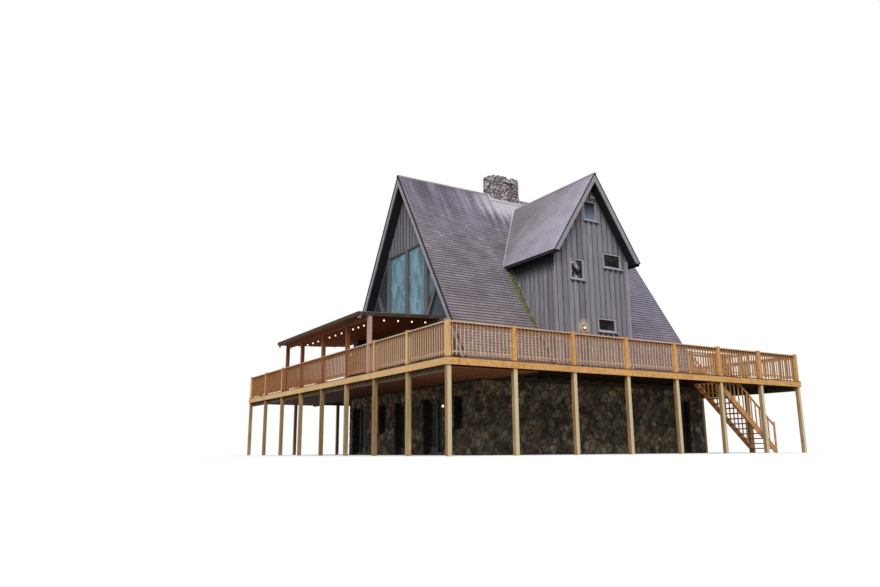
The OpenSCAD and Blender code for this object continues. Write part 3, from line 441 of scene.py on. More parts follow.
# lime below the chimney
lime_z = add(tree, "MapRange", {0: z, 1: 9.6, 2: 10.9, 3: 0.3, 4: 1.1})
lime_y = add(tree, "Math", {0: y, 1: CHIMNEY_Y}, operation="SUBTRACT")
lime_y = add(tree, "Math", {0: lime_y}, operation="ABSOLUTE")
lime_y = add(tree, "MapRange", {0: lime_y, 1: 2.2, 2: 0.7, 3: 0.5, 4: 1.0})
lime = add(tree, "Math", {0: lime_z, 1: lime_y}, operation="MULTIPLY")
lime = add(tree, "Math", {0: lime, 1: main}, operation="MULTIPLY")
lime = add(tree, "Math", {0: lime, 1: wash}, operation="ADD")
crust = add(tree, "TexNoise", {"Vector": where, "Scale": 9.0, "Detail": 5.0, "Roughness": 0.7})
lime = add(tree, "Math", {0: crust, 1: 0.7, 2: lime}, operation="MULTIPLY_ADD")
lime = add(tree, "MapRange", {0: lime, 1: 1.5, 2: 2.0, 4: 0.85})
colour = add(tree, "Mix", {0: lime, 6: coursed, 7: "#d6d2d6"})
grit = add(tree, "TexNoise", {"Vector": where, "Scale": 110.0, "Detail": 3.0})
surface(tree, colour, 0.88, grit, 0.5, 0.004)

# Boarded soffit: spruce boards 140 mm wide, nailed below the rafters and stained dark blue-grey,
# then darkened to near-black as painted shade, in which only their joints stand out
soffit, tree, where = finish_named("soffit_boards_stain_and_painted_shade")
x, y, z = add(tree, "SeparateXYZ", {0: where}).outputs
board = add(tree, "Math", {0: y, 1: SOFFIT_BOARD}, operation="DIVIDE")
gap = add(tree, "Math", {0: board}, operation="FRACT")
line = add(tree, "ValToRGB", {0: gap}, [(0.0, "#000000"), (0.06, "#ffffff"), (1.0, "#ffffff")])
cloud = add(tree, "TexNoise", {"Vector": where, "Scale": 2.0, "Detail": 5.0})
body = add(tree, "ValToRGB", {0: cloud}, [(0.3, "#14131a"), (0.7, "#25242d")])
colour = add(tree, "Mix", {0: 0.6, 6: body, 7: line}, blend_type="MULTIPLY")
surface(tree, colour, 0.7, line, 0.5, 0.006)
dress(soffit, "roof_right_front", "roof_right_back", "roof_left_front", "roof_left_back",
      "dormer_roof_right", "dormer_roof_left")
end = RAKE - 0.01


def main_runs(head):
    """The stretches of a main slope's course, which stops at the cross gable on either side."""
    z = DECK + head * UP_Z
    half = min(WALL_HALF, (GABLE_RIDGE - z) * GABLE_RUN)
    if half <= 0.02:
        return [(0, 2 * end)]
    return [(0, end + GABLE_Y - half), (end + GABLE_Y + half, 2 * end)]


def left_runs(head):
    """The same on the left slope, which is laid from its back end."""
    return [(2 * end - b, 2 * end - a) for a, b in reversed(main_runs(head))]


shingle("shingles_main_right", facing((EAVE_X, -end, DECK), (0, 1, 0), (-UP_X, 0, UP_Z)),
        SLOPE, main_runs, 21, 0.0)
shingle("shingles_main_left", facing((-EAVE_X, end, DECK), (0, -1, 0), (UP_X, 0, UP_Z)),
        SLOPE, left_runs, 22, 0.0)

gable_length = math.hypot(GABLE_HALF, GABLE_RIDGE - GABLE_EAVE)
gable_up = (GABLE_HALF / gable_length, (GABLE_RIDGE - GABLE_EAVE) / gable_length)


def gable_out(head):
    """From the valley with the main roof out to the cross gable's rake board."""
    return [((RIDGE - GABLE_EAVE - head * gable_up[1]) * RUN, GABLE_END + 0.012)]


def gable_in_from_rake(head):
    """The same stretch, laid from the rake board inwards."""
    return [(-b, -a) for a, b in gable_out(head)]


for number, (side, face) in enumerate([(1, 1), (1, -1), (-1, 1), (-1, -1)]):
    name = ("right" if side > 0 else "left") + "_gable_" + ("front" if face > 0 else "back")
    corner = (0, GABLE_Y - face * GABLE_HALF, GABLE_EAVE)
    place = facing(corner, (face, 0, 0), (0, face * gable_up[0], gable_up[1]))
    runs = gable_out if side * face > 0 else gable_in_from_rake
    shingle("shingles_" + name, place, gable_length, runs, 23 + number, 1.0)

# Moss: cushions of bright green moss that have rooted on the shingles beside the right-hand
# cheek, duller and thinner below, each a few centimetres across
moss, tree, where = finish_named("cushion_moss")
x, y, z = add(tree, "SeparateXYZ", {0: where}).outputs
tuft = add(tree, "TexNoise", {"Vector": where, "Scale": 12.0, "Detail": 6.0, "Roughness": 0.7})
green = add(tree, "ValToRGB", {0: tuft}, [(0.32, "#39421a"), (0.5, "#62702a"), (0.66, "#8c9a3e")])
fresh = add(tree, "MapRange", {0: z, 1: 4.2, 2: 5.4})
colour = add(tree, "Mix", {0: fresh, 6: "#555c4a", 7: green})
surface(tree, colour, 0.95, tuft, 0.8, 0.01)
bm = bmesh.new()
rng = random.Random(61)
for i in range(620):
    z = rng.uniform(3.0, 7.3)
    wide = 0.26 if z > 4.9 else 0.16
    out = rng.uniform(0, 1) ** 1.4 * wide
    x = (RIDGE - z) * RUN
    y = GABLE_Y - WALL_HALF - 0.07 - out
    if z < 4.9 and rng.random() > 0.45 or math.sin(z * 9) + math.sin(z * 23) < -1.0:
        continue
    size = rng.uniform(0.025, 0.055)
    place = Matrix.Translation((x + 0.012 * UP_Z, y, z + 0.012 * UP_X))
    place = place @ Matrix.Rotation(math.atan2(UP_Z, UP_X), 4, "Y")
    place = place @ Matrix.Rotation(rng.uniform(0, 3), 4, "Z")
    place = place @ Matrix.Diagonal((size * 1.3, size, 0.014, 1))
    bmesh.ops.create_icosphere(bm, subdivisions=1, radius=1, matrix=place)
for f in bm.faces:
    f.smooth = True
fix("roof_moss", bm, moss)

# Ridges: cap shingles folded over the ridge one after another, 143 mm showing, in place of the
# plain caps of the solid model. The chimney stands between them.
ASIDE = 0.06  # what a cap reaches to either side


def cap_ridge(bm, start, direction, side, count, drop, gaps, rng):
    """Folded caps from start along direction. Drop is the fall of a slope over each metre out."""
    along = Vector(direction)
    tone = bm.verts.layers.float["tone"]
    up = bm.verts.layers.float["up"]
    for i in range(count):
        middle = Vector(start) + along * (i * SHOWN)
        if any(low < middle.dot(along) < high for low, high in gaps):
            continue
        value = rng.random()
        for face in (1, -1):
            out = Vector(side) * face
            down = (out - Vector((0, 0, drop))).normalized()
            normal = down.cross(along) if down.cross(along).z > 0 else along.cross(down)
            width = ASIDE * math.hypot(1, drop)
            centre = middle + down * (width / 2) + normal * 0.024
            turn = Matrix((down, along, down.cross(along))).transposed().to_4x4()
            tip = Matrix.Rotation(0.035 * (1 if down.cross(along).z > 0 else -1), 4, "X")
            size = Matrix.Diagonal((width, SHOWN + 0.06, 0.008, 1))
            place = Matrix.Translation(centre) @ turn @ tip @ size
            for v in bmesh.ops.create_cube(bm, size=1, matrix=place)["verts"]:
                v[tone] = value
                v[up] = 0.4


bm = bmesh.new()
bm.verts.layers.float.new("tone")
bm.verts.layers.float.new("up")
worn = bm.verts.layers.float.new("worn")
rng = random.Random(31)
main_count = int(2 * RAKE / SHOWN)
cap_ridge(bm, (0, -RAKE + 0.07, RIDGE), (0, 1, 0), (1, 0, 0), main_count, 1 / RUN,
          [(CHIMNEY_LOW.y - 0.05, CHIMNEY_HIGH.y + 0.05)], rng)
first = (RIDGE - GABLE_RIDGE) * RUN + 0.25
gable_count = int((GABLE_END - first) / SHOWN)
for side in (1, -1):
    cap_ridge(bm, (side * (GABLE_END - 0.07), GABLE_Y, GABLE_RIDGE), (-side, 0, 0), (0, 1, 0),
              gable_count, 1 / GABLE_RUN, [], rng)
for v in bm.verts:
    v[worn] = 2.0
caps = fix("ridge_cap_shingles", bm, shingles)
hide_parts("ridge_caps")

# Flashings: strips of zinc-grey sheet, 0.5 mm thick and streaked white with lime, folded up
# the valleys, round the chimney's foot and along the foot of each cross gable's cheeks
zinc, tree, where = finish_named("weathered_zinc_sheet")
x, y, z = add(tree, "SeparateXYZ", {0: where}).outputs
cloud = add(tree, "TexNoise", {"Vector": where, "Scale": 3.5, "Detail": 7.0, "Roughness": 0.7})
plain = add(tree, "ValToRGB", {0: cloud}, [(0.3, "#96928f"), (0.7, "#b3aeab")])
limed = add(tree, "ValToRGB", {0: cloud}, [(0.3, "#c9c5c9"), (0.7, "#e2dfe2")])
high_up = add(tree, "MapRange", {0: z, 1: 10.0, 2: 10.9})
colour = add(tree, "Mix", {0: high_up, 6: plain, 7: limed})
surface(tree, colour, 0.6, cloud, 0.3, 0.004)


def strip(bm, start, finish, out, width, thick=0.003):
    """A flat strip from start to finish that reaches out by its width."""
    length = (finish - start).length
    along = (finish - start).normalized()
    out = (out - along * out.dot(along)).normalized()
    turn = Matrix((along, out, along.cross(out))).transposed().to_4x4()
    middle = (start + finish) / 2 + out * (width / 2)
    place = Matrix.Translation(middle) @ turn @ Matrix.Diagonal((length, width, thick, 1))
    bmesh.ops.create_cube(bm, size=1, matrix=place)


bm = bmesh.new()
for side in (1, -1):
    for face in (1, -1):
        head = Vector((side * (RIDGE - GABLE_RIDGE) * RUN, GABLE_Y, GABLE_RIDGE))
        foot = Vector((side * (RIDGE - GABLE_EAVE) * RUN, GABLE_Y - face * GABLE_HALF, GABLE_EAVE))
        main_normal = Vector((side * UP_Z, 0, UP_X))
        gable_normal = Vector((0, -face * gable_up[1], gable_up[0]))
        lift = main_normal * 0.03
        strip(bm, head + lift, foot + lift, (foot - head).cross(main_normal) * side * face, 0.075)
        lift = gable_normal * 0.025
        strip(bm, head + lift, foot + lift, gable_normal.cross(foot - head) * side * face, 0.04)
        cheek = GABLE_Y - face * WALL_HALF
        low = Vector((side * (EAVE_X - 0.02), cheek - face * 0.004, DECK + 0.03))
        high = Vector((side * (RIDGE - GABLE_EAVE) * RUN, cheek - face * 0.004, GABLE_EAVE))
        strip(bm, low, high, main_normal, 0.06)
fix("valley_and_cheek_flashing", bm, zinc)

# Rake boards: planed spruce boards, one coat of grey stain, lighter than the walls because
# they face the weather, with the dark butt ends of the shingles along the top edge
rake_wood = plain_finish(
    "grey_stained_rake_boards", [(0.3, "#908b91"), (0.7, "#aca7ac")], {"Scale": 2.5, "Detail": 7.0},
    0.75, 0.25, 0.003, stretch=(6.0, 6.0, 1.2))
dress(rake_wood, "rake_boards")

butts = plain_finish(
    "tarred_shingle_butts", [(0.3, "#1d1b1f"), (0.7, "#39363b")], {"Scale": 15.0, "Detail": 5.0},
    0.9, 0.5, 0.004)
bm = bmesh.new()
for side in (1, -1):
    for face in (1, -1):
        normal = Vector((side * UP_Z, 0, UP_X))
        head = Vector((0, face * (RAKE + 0.003), RIDGE)) + normal * 0.015
        foot = Vector((side * EAVE_X, face * (RAKE + 0.003), DECK)) + normal * 0.015
        strip(bm, head, foot, -normal, 0.09, 0.016)
        normal = Vector((0, face * gable_up[1], gable_up[0]))
        head = Vector((side * (GABLE_END + 0.003), GABLE_Y, GABLE_RIDGE)) + normal * 0.015
        foot = head + Vector((0, face * GABLE_HALF, GABLE_EAVE - GABLE_RIDGE))
        strip(bm, head, foot, -normal, 0.045, 0.016)
fix("rake_shingle_butts", bm, butts)

# Upper walls: rough-sawn boards set upright every 275 mm, grey-stained and bleached, with
# narrow battens over the joints. Joints and battens are darker, partly dark joints and partly
# painted shadow of the battens. Close under the cross gables' eaves the boards carry a
# near-black painted shade, and under the porch a dark brown painted shade. Painted lamp light
# warms the boards round each lamp.
BOARD = 0.275
FIRST_BOARD = GABLE_Y - WALL_HALF + 0.02  # a cross gable's boards start at its front corner
LAMP_Y = GABLE_Y - 0.635
PORCH_LINE = 5.0  # where the porch roof meets the front wall
FRONT_LINE = -4.0  # only the front wall lies before it
boards, tree, where = finish_named("grey_stained_board_and_batten")
x, y, z = add(tree, "SeparateXYZ", {0: where}).outputs
normal = add(tree, "SeparateXYZ", {0: add(tree, "NewGeometry").outputs["Normal"]})
sideways = add(tree, "Math", {0: normal.outputs["X"]}, operation="ABSOLUTE")
gable = add(tree, "Math", {0: sideways, 1: 0.5}, operation="GREATER_THAN")
from_edge = add(tree, "Math", {0: y, 1: FIRST_BOARD}, operation="SUBTRACT")
across = add(tree, "Mix", {0: gable, 2: x, 3: from_edge})
width = add(tree, "Math", {0: across, 1: BOARD}, operation="DIVIDE")
index = add(tree, "Math", {0: width}, operation="FLOOR")
each = add(tree, "TexWhiteNoise", {"W": index}, noise_dimensions="1D")
body = add(tree, "ValToRGB", {0: each}, [(0.0, "#94929a"), (0.5, "#a3a1a9"), (1.0, "#b1afb7")])
stretch = add(tree, "Mapping", {"Vector": where, "Scale": (14.0, 14.0, 0.7)})
grain = add(tree, "TexNoise", {"Vector": stretch, "Scale": 1.6, "Detail": 9.0, "Roughness": 0.7})
weather = add(tree, "ValToRGB", {0: grain}, [(0.3, "#8a868a"), (0.5, "#d3cfd1"), (0.7, "#ffffff")])
grained = add(tree, "Mix", {0: 0.8, 6: body, 7: weather}, blend_type="MULTIPLY")
blotch = add(tree, "TexNoise", {"Vector": where, "Scale": 0.8, "Detail": 6.0})
browner = add(tree, "MapRange", {0: blotch, 1: 0.45, 2: 0.75, 4: 0.5})
patched = add(tree, "Mix", {0: browner, 6: grained, 7: "#8a8480"})
# dark joints with painted shadow beside the battens, some of them faint
edge = add(tree, "Math", {0: width, 1: 0.5}, operation="PINGPONG")
near_joint = add(tree, "Math", {0: width}, operation="ROUND")
chance = add(tree, "TexWhiteNoise", {"W": near_joint}, noise_dimensions="1D")
least = add(tree, "MapRange", {0: chance, 3: 0.15, 4: 0.6})
seam = add(tree, "MapRange", {0: edge, 1: 0.075, 2: 0.115, 3: least, 4: 1.0})
seams_and_batten_shadow = add(tree, "Mix", {0: seam, 6: "#2b292f", 7: patched})
# painted shade: near-black close under the cross gables' eaves
to_ridge = add(tree, "Math", {0: y, 1: GABLE_Y}, operation="SUBTRACT")
to_ridge = add(tree, "Math", {0: to_ridge}, operation="ABSOLUTE")
eaves = add(tree, "Math", {0: to_ridge, 1: 1 / GABLE_RUN, 2: z}, operation="MULTIPLY_ADD")
eaves = add(tree, "Math", {0: gable, 1: -0.55, 2: eaves}, operation="MULTIPLY_ADD")
out_of_eave_shade = add(tree, "MapRange", {0: eaves, 1: GABLE_RIDGE - 0.85, 2: GABLE_RIDGE - 1.35})
cross = add(tree, "Math", {0: to_ridge, 1: 2.2}, operation="GREATER_THAN")
out_of_eave_shade = add(tree, "Math", {0: out_of_eave_shade, 1: cross}, operation="MAXIMUM")
shaded = add(tree, "Mix", {0: out_of_eave_shade, 6: "#1f1e25", 7: seams_and_batten_shadow})
# painted shade: dark brown on the front wall under the porch roof
porch = add(tree, "MapRange", {0: z, 1: PORCH_LINE - 0.05, 2: PORCH_LINE + 0.05, 3: 0.75, 4: 0.12})
front_wall = add(tree, "Math", {0: y, 1: FRONT_LINE}, operation="LESS_THAN")
porch = add(tree, "Math", {0: porch, 1: front_wall}, operation="MULTIPLY")
with_porch_shade = add(tree, "Mix", {0: porch, 6: shaded, 7: "#2a1c18"})
# painted light: a warm pool round each lamp, the same on both sides
lamp_at = add(tree, "CombineXYZ", {0: 5.35, 1: LAMP_Y, 2: 4.81})
mirrored = add(tree, "VectorMath", {0: where}, operation="ABSOLUTE")
mirrored = add(tree, "SeparateXYZ", {0: mirrored})
mirrored = add(tree, "CombineXYZ", {0: mirrored.outputs["X"], 1: y, 2: z})
away = add(tree, "VectorMath", {0: mirrored, 1: lamp_at}, operation="DISTANCE")
halo = add(tree, "MapRange", {0: away, 1: 0.05, 2: 0.36, 3: 0.8, 4: 0.0})
colour = add(tree, "Mix", {0: halo, 6: with_porch_shade, 7: "#ffe3b0"})
surface(tree, colour, 0.85, grain, 0.5, 0.005)
dress(boards, "gable_walls", "dormer_walls", "dormer_cheeks")


def block(bm, low, high):
    """A sawn piece between two corners."""
    low = Vector(low)
    high = Vector(high)
    place = Matrix.Translation((low + high) / 2) @ Matrix.Diagonal((*(high - low), 1))
    return bmesh.ops.create_cube(bm, size=1, matrix=place)["verts"]


BATTEN = 0.035
BATTEN_T = 0.022  # how thick
GLAZING_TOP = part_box("gable_glass")[1].z + 0.09
SIDE_WALL_X = 1.77
SIDE_WALL_TOP = DECK + 2.05
roof_in = 0.24 * math.hypot(1, RUN)
face_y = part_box("gable_walls")[1].y
bm = bmesh.new()
for end_side in (1, -1):
    near, far = sorted((end_side * face_y, end_side * (face_y + BATTEN_T)))
    for i in range(-18, 19):
        x = i * BOARD
        top = RIDGE - (abs(x) + BATTEN / 2 + roof_in) / RUN
        if top > GLAZING_TOP + 0.1:
            block(bm, (x - BATTEN / 2, near, GLAZING_TOP), (x + BATTEN / 2, far, top))
        if abs(x) > SIDE_WALL_X + 0.03 and min(top, SIDE_WALL_TOP) > DECK + 0.1:
            block(bm, (x - BATTEN / 2, near, DECK), (x + BATTEN / 2, far, min(top, SIDE_WALL_TOP)))
fix("gable_battens", bm, boards)

# Windows of a cross gable: middle, sill, width and height, as the boards are cut round them
GABLE_WINDOWS = [
    (1.08, 7.32, 1.0, 0.64), (0.62, 4.69, 0.98, 0.56), (-0.81, 6.66, 0.72, 0.86),
    (0.02, 9.18, 0.72, 0.86)]
wall_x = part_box("dormer_walls")[1].x
gable_in = 0.2 * math.hypot(1, GABLE_RUN)
bm = bmesh.new()
corners = bmesh.new()
for side in (1, -1):
    near, far = sorted((side * wall_x, side * (wall_x + BATTEN_T)))
    for i in range(14):
        y = -WALL_HALF + 0.02 + i * BOARD
        top = GABLE_RIDGE - (abs(y) + BATTEN / 2 + gable_in) / GABLE_RUN
        spans = [(DECK, top)]
        for middle, sill, wide, high in GABLE_WINDOWS:
            if abs(y - middle) < wide / 2 + BATTEN / 2 + 0.01:
                foot, head = sill - 0.04, sill + high
                spans = [part for a, b in spans for part in ((a, min(b, foot)), (max(a, head), b))
                         if part[1] - part[0] > 0.05]
        for a, b in spans:
            block(bm, (near, GABLE_Y + y - BATTEN / 2, a), (far, GABLE_Y + y + BATTEN / 2, b))
    for face in (1, -1):
        cheek = GABLE_Y + face * WALL_HALF
        a, b = sorted((cheek, cheek + face * BATTEN_T))
        inner, outer = sorted((side * (wall_x - 0.09), side * (wall_x + 0.02)))
        block(corners, (inner, a, DECK), (outer, b, GABLE_EAVE + 0.1))
        block(corners, (near, min(cheek, cheek - face * 0.09), DECK),
              (far, max(cheek, cheek - face * 0.09), GABLE_EAVE + 0.12))
        for i in range(1, 20):
            x = i * BOARD
            foot = RIDGE - (x + BATTEN / 2) / RUN + 0.02
            if x < wall_x - 0.12 and foot < GABLE_EAVE:
                inner, outer = sorted((side * (x - BATTEN / 2), side * (x + BATTEN / 2)))
                block(bm, (inner, a, max(foot, DECK)), (outer, b, GABLE_EAVE + 0.1))
fix("cross_gable_battens", bm, boards)

# Boxed eaves of the cross gables: level boards from the eave in to the cheek, with a shallow
# dark fascia, in the soffit's material: dark stain and near-black painted shade
bm = bmesh.new()
for side in (1, -1):
    for face in (1, -1):
        inner, outer = sorted((side * ((RIDGE - GABLE_EAVE) * RUN - 0.25), side * (GABLE_END - 0.04)))
        eave = GABLE_Y + face * (GABLE_HALF - 0.012)
        cheek = GABLE_Y + face * (WALL_HALF + BATTEN_T)
        block(bm, (inner, min(eave, cheek), GABLE_EAVE - 0.022),
              (outer, max(eave, cheek), GABLE_EAVE + 0.012))
        a, b = sorted((eave, eave - face * 0.025))
        block(bm, (inner, a, GABLE_EAVE - 0.1), (outer, b, GABLE_EAVE - 0.022))
fix("cross_gable_eave_boxes", bm, soffit)

# Window frames of the cross gables and the mullions of the big gables: planed timber under
# the same grey stain, a shade lighter and browner where hands and rain have worn it
frame_wood = plain_finish(
    "grey_brown_stained_frames", [(0.3, "#54504f"), (0.7, "#6f6a68")], {"Scale": 2.4, "Detail": 7.0},
    0.7, 0.3, 0.003, stretch=(9.0, 9.0, 1.0))
dress(frame_wood, "gable_frames")
fix("cross_gable_corner_boards", corners, rake_wood)

# Sashes: planed timber under an even, half-matt pale grey paint
sash_paint = plain_finish(
    "pale_grey_sash_paint", [(0.3, "#9f9da5"), (0.7, "#b7b5bd")], {"Scale": 6.0, "Detail": 5.0},
    0.5, 0.2, 0.002)
dress(sash_paint, "dormer_windows")

# Blocks under the window sills: dark brackets 60 mm wide that carry each sill, near-black so
# that they also stand in as painted shade below the sill
bm = bmesh.new()
for side in (1, -1):
    for middle, sill, wide, high in GABLE_WINDOWS:
        near, far = sorted((side * wall_x, side * (wall_x + 0.06)))
        count = 4 if wide > 0.9 else 3
        for i in range(count):
            y = GABLE_Y + middle + (i / (count - 1) - 0.5) * (wide - 0.16)
            block(bm, (near, y - 0.035, sill - 0.13), (far, y + 0.035, sill - 0.045))
fix("sill_brackets", bm, butts)

# Glass: float glass in front of dim rooms, with its look painted. In the big gables a painted
# reflection of the sky lies in blue-green cloudy patches; in the small windows and below the deck
# the rooms' dark is painted dark green.
gable_pane, tree, where = finish_named("float_glass_painted_sky_reflection")
x, y, z = add(tree, "SeparateXYZ", {0: where}).outputs
upright = add(tree, "Mapping", {"Vector": where, "Scale": (2.2, 1.0, 0.9)})
cloud = add(tree, "TexNoise", {"Vector": upright, "Scale": 1.3, "Detail": 7.0, "Distortion": 0.6})
colour = add(tree, "ValToRGB", {0: cloud}, [
    (0.25, "#42646f"), (0.45, "#5f8794"), (0.6, "#769eab"), (0.78, "#9dbac3")])
# painted glints: pale flecks of reflected sky
fleck = add(tree, "TexNoise", {"Vector": where, "Scale": 5.5, "Detail": 2.0, "Distortion": 1.2})
glint = add(tree, "MapRange", {0: fleck, 1: 0.69, 2: 0.74})
colour = add(tree, "Mix", {0: glint, 6: colour, 7: "#dfe7ea"})
# painted shade: the outer panes darken, wholly on one side of each gable and low down on the other,
# and so do the front panes under the porch roof
aside = add(tree, "Math", {0: x}, operation="ABSOLUTE")
outer = add(tree, "MapRange", {0: aside, 1: 1.62, 2: 1.7, 4: 0.85})
low_down = add(tree, "MapRange", {0: z, 1: 6.4, 2: 6.1})
turned = add(tree, "Math", {0: x, 1: y}, operation="MULTIPLY")
behind = add(tree, "Math", {0: turned, 1: 0.0}, operation="GREATER_THAN")
low_down = add(tree, "Math", {0: low_down, 1: behind}, operation="MAXIMUM")
shaded = add(tree, "Math", {0: outer, 1: low_down}, operation="MULTIPLY")
under = add(tree, "MapRange", {0: z, 1: PORCH_LINE - 0.05, 2: PORCH_LINE + 0.05, 3: 0.85, 4: 0.0})
porch = add(tree, "Math", {0: y, 1: FRONT_LINE}, operation="LESS_THAN")
under = add(tree, "Math", {0: under, 1: porch}, operation="MULTIPLY")
shaded = add(tree, "Math", {0: shaded, 1: under}, operation="MAXIMUM")
shown = add(tree, "Mix", {0: shaded, 6: colour, 7: "#1d2a30"})
surface(tree, shown, 0.06, more={"IOR": 1.3, "Specular IOR Level": 0.3})
dress(gable_pane, "gable_glass")

dark_pane, tree, where = finish_named("float_glass_painted_dark_room_and_reflections")
x, y, z = add(tree, "SeparateXYZ", {0: where}).outputs
cloud = add(tree, "TexNoise", {"Vector": where, "Scale": 4.2, "Detail": 5.0, "Distortion": 0.4})
colour = add(tree, "ValToRGB", {0: cloud}, [(0.3, "#141713"), (0.5, "#272a25"), (0.72, "#454842")])
# painted reflection of the sky in the top window, with painted shade at its head
top = add(tree, "MapRange", {0: z, 1: 8.9, 2: 9.1, 4: 0.9})
sky_shown = add(tree, "MapRange", {0: z, 1: 9.9, 2: 9.3})
attic = add(tree, "Mix", {0: sky_shown, 6: "#2c363d", 7: "#8795a6"})
# painted reflections: pale glints in the front-most upstairs windows of the cross gables
left = add(tree, "MapRange", {0: y, 1: -0.8, 2: -0.95})
upstairs = add(tree, "Math", {0: z, 1: 6.0}, operation="GREATER_THAN")
glint = add(tree, "MapRange", {0: cloud, 1: 0.5, 2: 0.68, 4: 0.9})
glint = add(tree, "Math", {0: glint, 1: left}, operation="MULTIPLY")
glint = add(tree, "Math", {0: glint, 1: upstairs}, operation="MULTIPLY")
room = add(tree, "Mix", {0: glint, 6: colour, 7: "#c3cbd2"})
shown = add(tree, "Mix", {0: top, 6: room, 7: attic})
surface(tree, shown, 0.08, more={"IOR": 1.2, "Specular IOR Level": 0.1})
dress(dark_pane, "dormer_glass", "basement_glass", "door_left_glass", "door_middle_glass",
      "door_right_glass")

# Chimney: the same kind of field stone as the walls but bleached by the weather, pinkish grey
# and cream with dark raked joints, and a rough top of loose flat stones
chimney_stone, tree, where = finish_named("bleached_fieldstone")
tone = add(tree, "Attribute", attribute_name="tone").outputs["Fac"]
joint = add(tree, "Attribute", attribute_name="joint").outputs["Fac"]
body = add(tree, "ValToRGB", {0: tone}, [
    (0.0, "#85777b"), (0.16, "#c4b4b7"), (0.32, "#e4dadb"), (0.46, "#a3959a"), (0.6, "#f8f2f1"),
    (0.74, "#c9b8ba"), (0.88, "#fdf9f7"), (1.0, "#93878b")])
blotch = add(tree, "TexNoise", {"Vector": where, "Scale": 11.0, "Detail": 8.0, "Roughness": 0.65})
shade = add(tree, "ValToRGB", {0: blotch}, [(0.3, "#7d7a78"), (0.5, "#cbc7c4"), (0.72, "#ffffff")])
stained = add(tree, "Mix", {0: 0.85, 6: body, 7: shade}, blend_type="MULTIPLY")
mortar = add(tree, "MapRange", {0: joint, 1: 0.05, 2: 0.5})
colour = add(tree, "Mix", {0: mortar, 6: "#4a4043", 7: stained})
grit = add(tree, "TexNoise", {"Vector": where, "Scale": 42.0, "Detail": 6.0, "Roughness": 0.7})
surface(tree, colour, 0.92, grit, 0.8, 0.012)
dress(chimney_stone, "chimney")

CHIMNEY_STONE = (0.21, 0.15)
TOP_STONE = (0.3, 0.26)
low, high = CHIMNEY_LOW, CHIMNEY_HIGH
tall = high.z - low.z - 0.02
narrow = high.x - low.x + 2 * EDGE
long_side = high.y - low.y + 2 * EDGE
for number, (side, across, corner, right) in enumerate([
        ("front", narrow, (low.x - EDGE, low.y, low.z), (1, 0, 0)),
        ("back", narrow, (high.x + EDGE, high.y, low.z), (-1, 0, 0)),
        ("right", long_side, (high.x, low.y - EDGE, low.z), (0, 1, 0)),
        ("left", long_side, (low.x, high.y + EDGE, low.z), (0, -1, 0))]):
    rubble("chimney_" + side + "_stones", across, tall, facing(corner, right), [],
           chimney_stone, CHIMNEY_STONE, 41 + number, depth=0.05, step=0.02)
top = facing((low.x - EDGE, low.y - EDGE, high.z - 0.02), (1, 0, 0), (0, 1, 0))
rubble("chimney_top_stones", narrow, long_side, top, [], chimney_stone, TOP_STONE, 45,
       depth=0.05, step=0.02)

bm = bmesh.new()
rng = random.Random(46)
tone = bm.verts.layers.float.new("tone")
joint = bm.verts.layers.float.new("joint")
middle = (low + high) / 2
spread = high - low
for i in range(26):
    around = rng.random() - 0.5
    wide, deep, flat = rng.uniform(0.09, 0.16), rng.uniform(0.07, 0.13), rng.uniform(0.03, 0.075)
    edge = rng.choice(((1, 0), (-1, 0), (0, 1), (0, -1)))
    x = middle.x + (edge[0] / 2 if edge[0] else around) * spread.x * 0.86
    y = middle.y + (edge[1] / 2 if edge[1] else around) * spread.y * 0.93
    place = Matrix.Translation((x, y, high.z + flat * 0.5))
    place = place @ Matrix.Rotation(rng.uniform(0, 3), 4, "Z")
    place = place @ Matrix.Rotation(rng.uniform(-0.15, 0.15), 4, "X")
    place = place @ Matrix.Diagonal((wide, deep, flat, 1))
    value = rng.random()
    for v in bmesh.ops.create_icosphere(bm, subdivisions=2, radius=1, matrix=place)["verts"]:
        v[tone] = value
        v[joint] = 1.0
        v.co += Vector([rng.uniform(-rough, rough) for rough in (0.008, 0.008, 0.005)])
for f in bm.faces:
    f.smooth = True
fix("chimney_top_rubble", bm, chimney_stone)

# Vents: two near-black blocks on the chimney, whose dark is painted shade in the vent openings
VENT = 0.11
VENT_Z = 12.41
bm = bmesh.new()
for y in (-0.5, -0.2):
    block(bm, (high.x - 0.02, y, VENT_Z), (high.x + 0.062, y + VENT, VENT_Z + VENT))
fix("chimney_vents", bm, butts)

# The vents' hood, then aprons on both slopes and stepped strips at the front and back
bm = bmesh.new()
block(bm, (high.x - 0.02, -0.62, VENT_Z + 0.115), (high.x + 0.068, 0.04, VENT_Z + 0.15))
for side, foot in ((1, high.x), (-1, -low.x)):
    normal = Vector((side * UP_Z, 0, UP_X))
    z = RIDGE - foot / RUN
    start = Vector((side * foot, low.y - 0.12, z)) + normal * 0.024
    finish = Vector((side * foot, high.y + 0.12, z)) + normal * 0.024
    strip(bm, start, finish, Vector((side * UP_X, 0, -UP_Z)), 0.09)
    step = Vector((side * 0.04, 0, -0.03))
    strip(bm, start + step, finish + step, Vector((0, 0, 1)), 0.1)
for y, out in ((low.y - 0.02, -1), (high.y + 0.02, 1)):
    for side, foot in ((1, high.x), (-1, -low.x)):
        normal = Vector((side * UP_Z, 0, UP_X))
        start = Vector((0, y, RIDGE)) + normal * 0.034
        finish = Vector((side * (foot + 0.05), y, RIDGE - (foot + 0.05) / RUN)) + normal * 0.034
        strip(bm, start, finish, Vector((0, out, 0)), 0.11)
fix("chimney_flashing", bm, zinc)

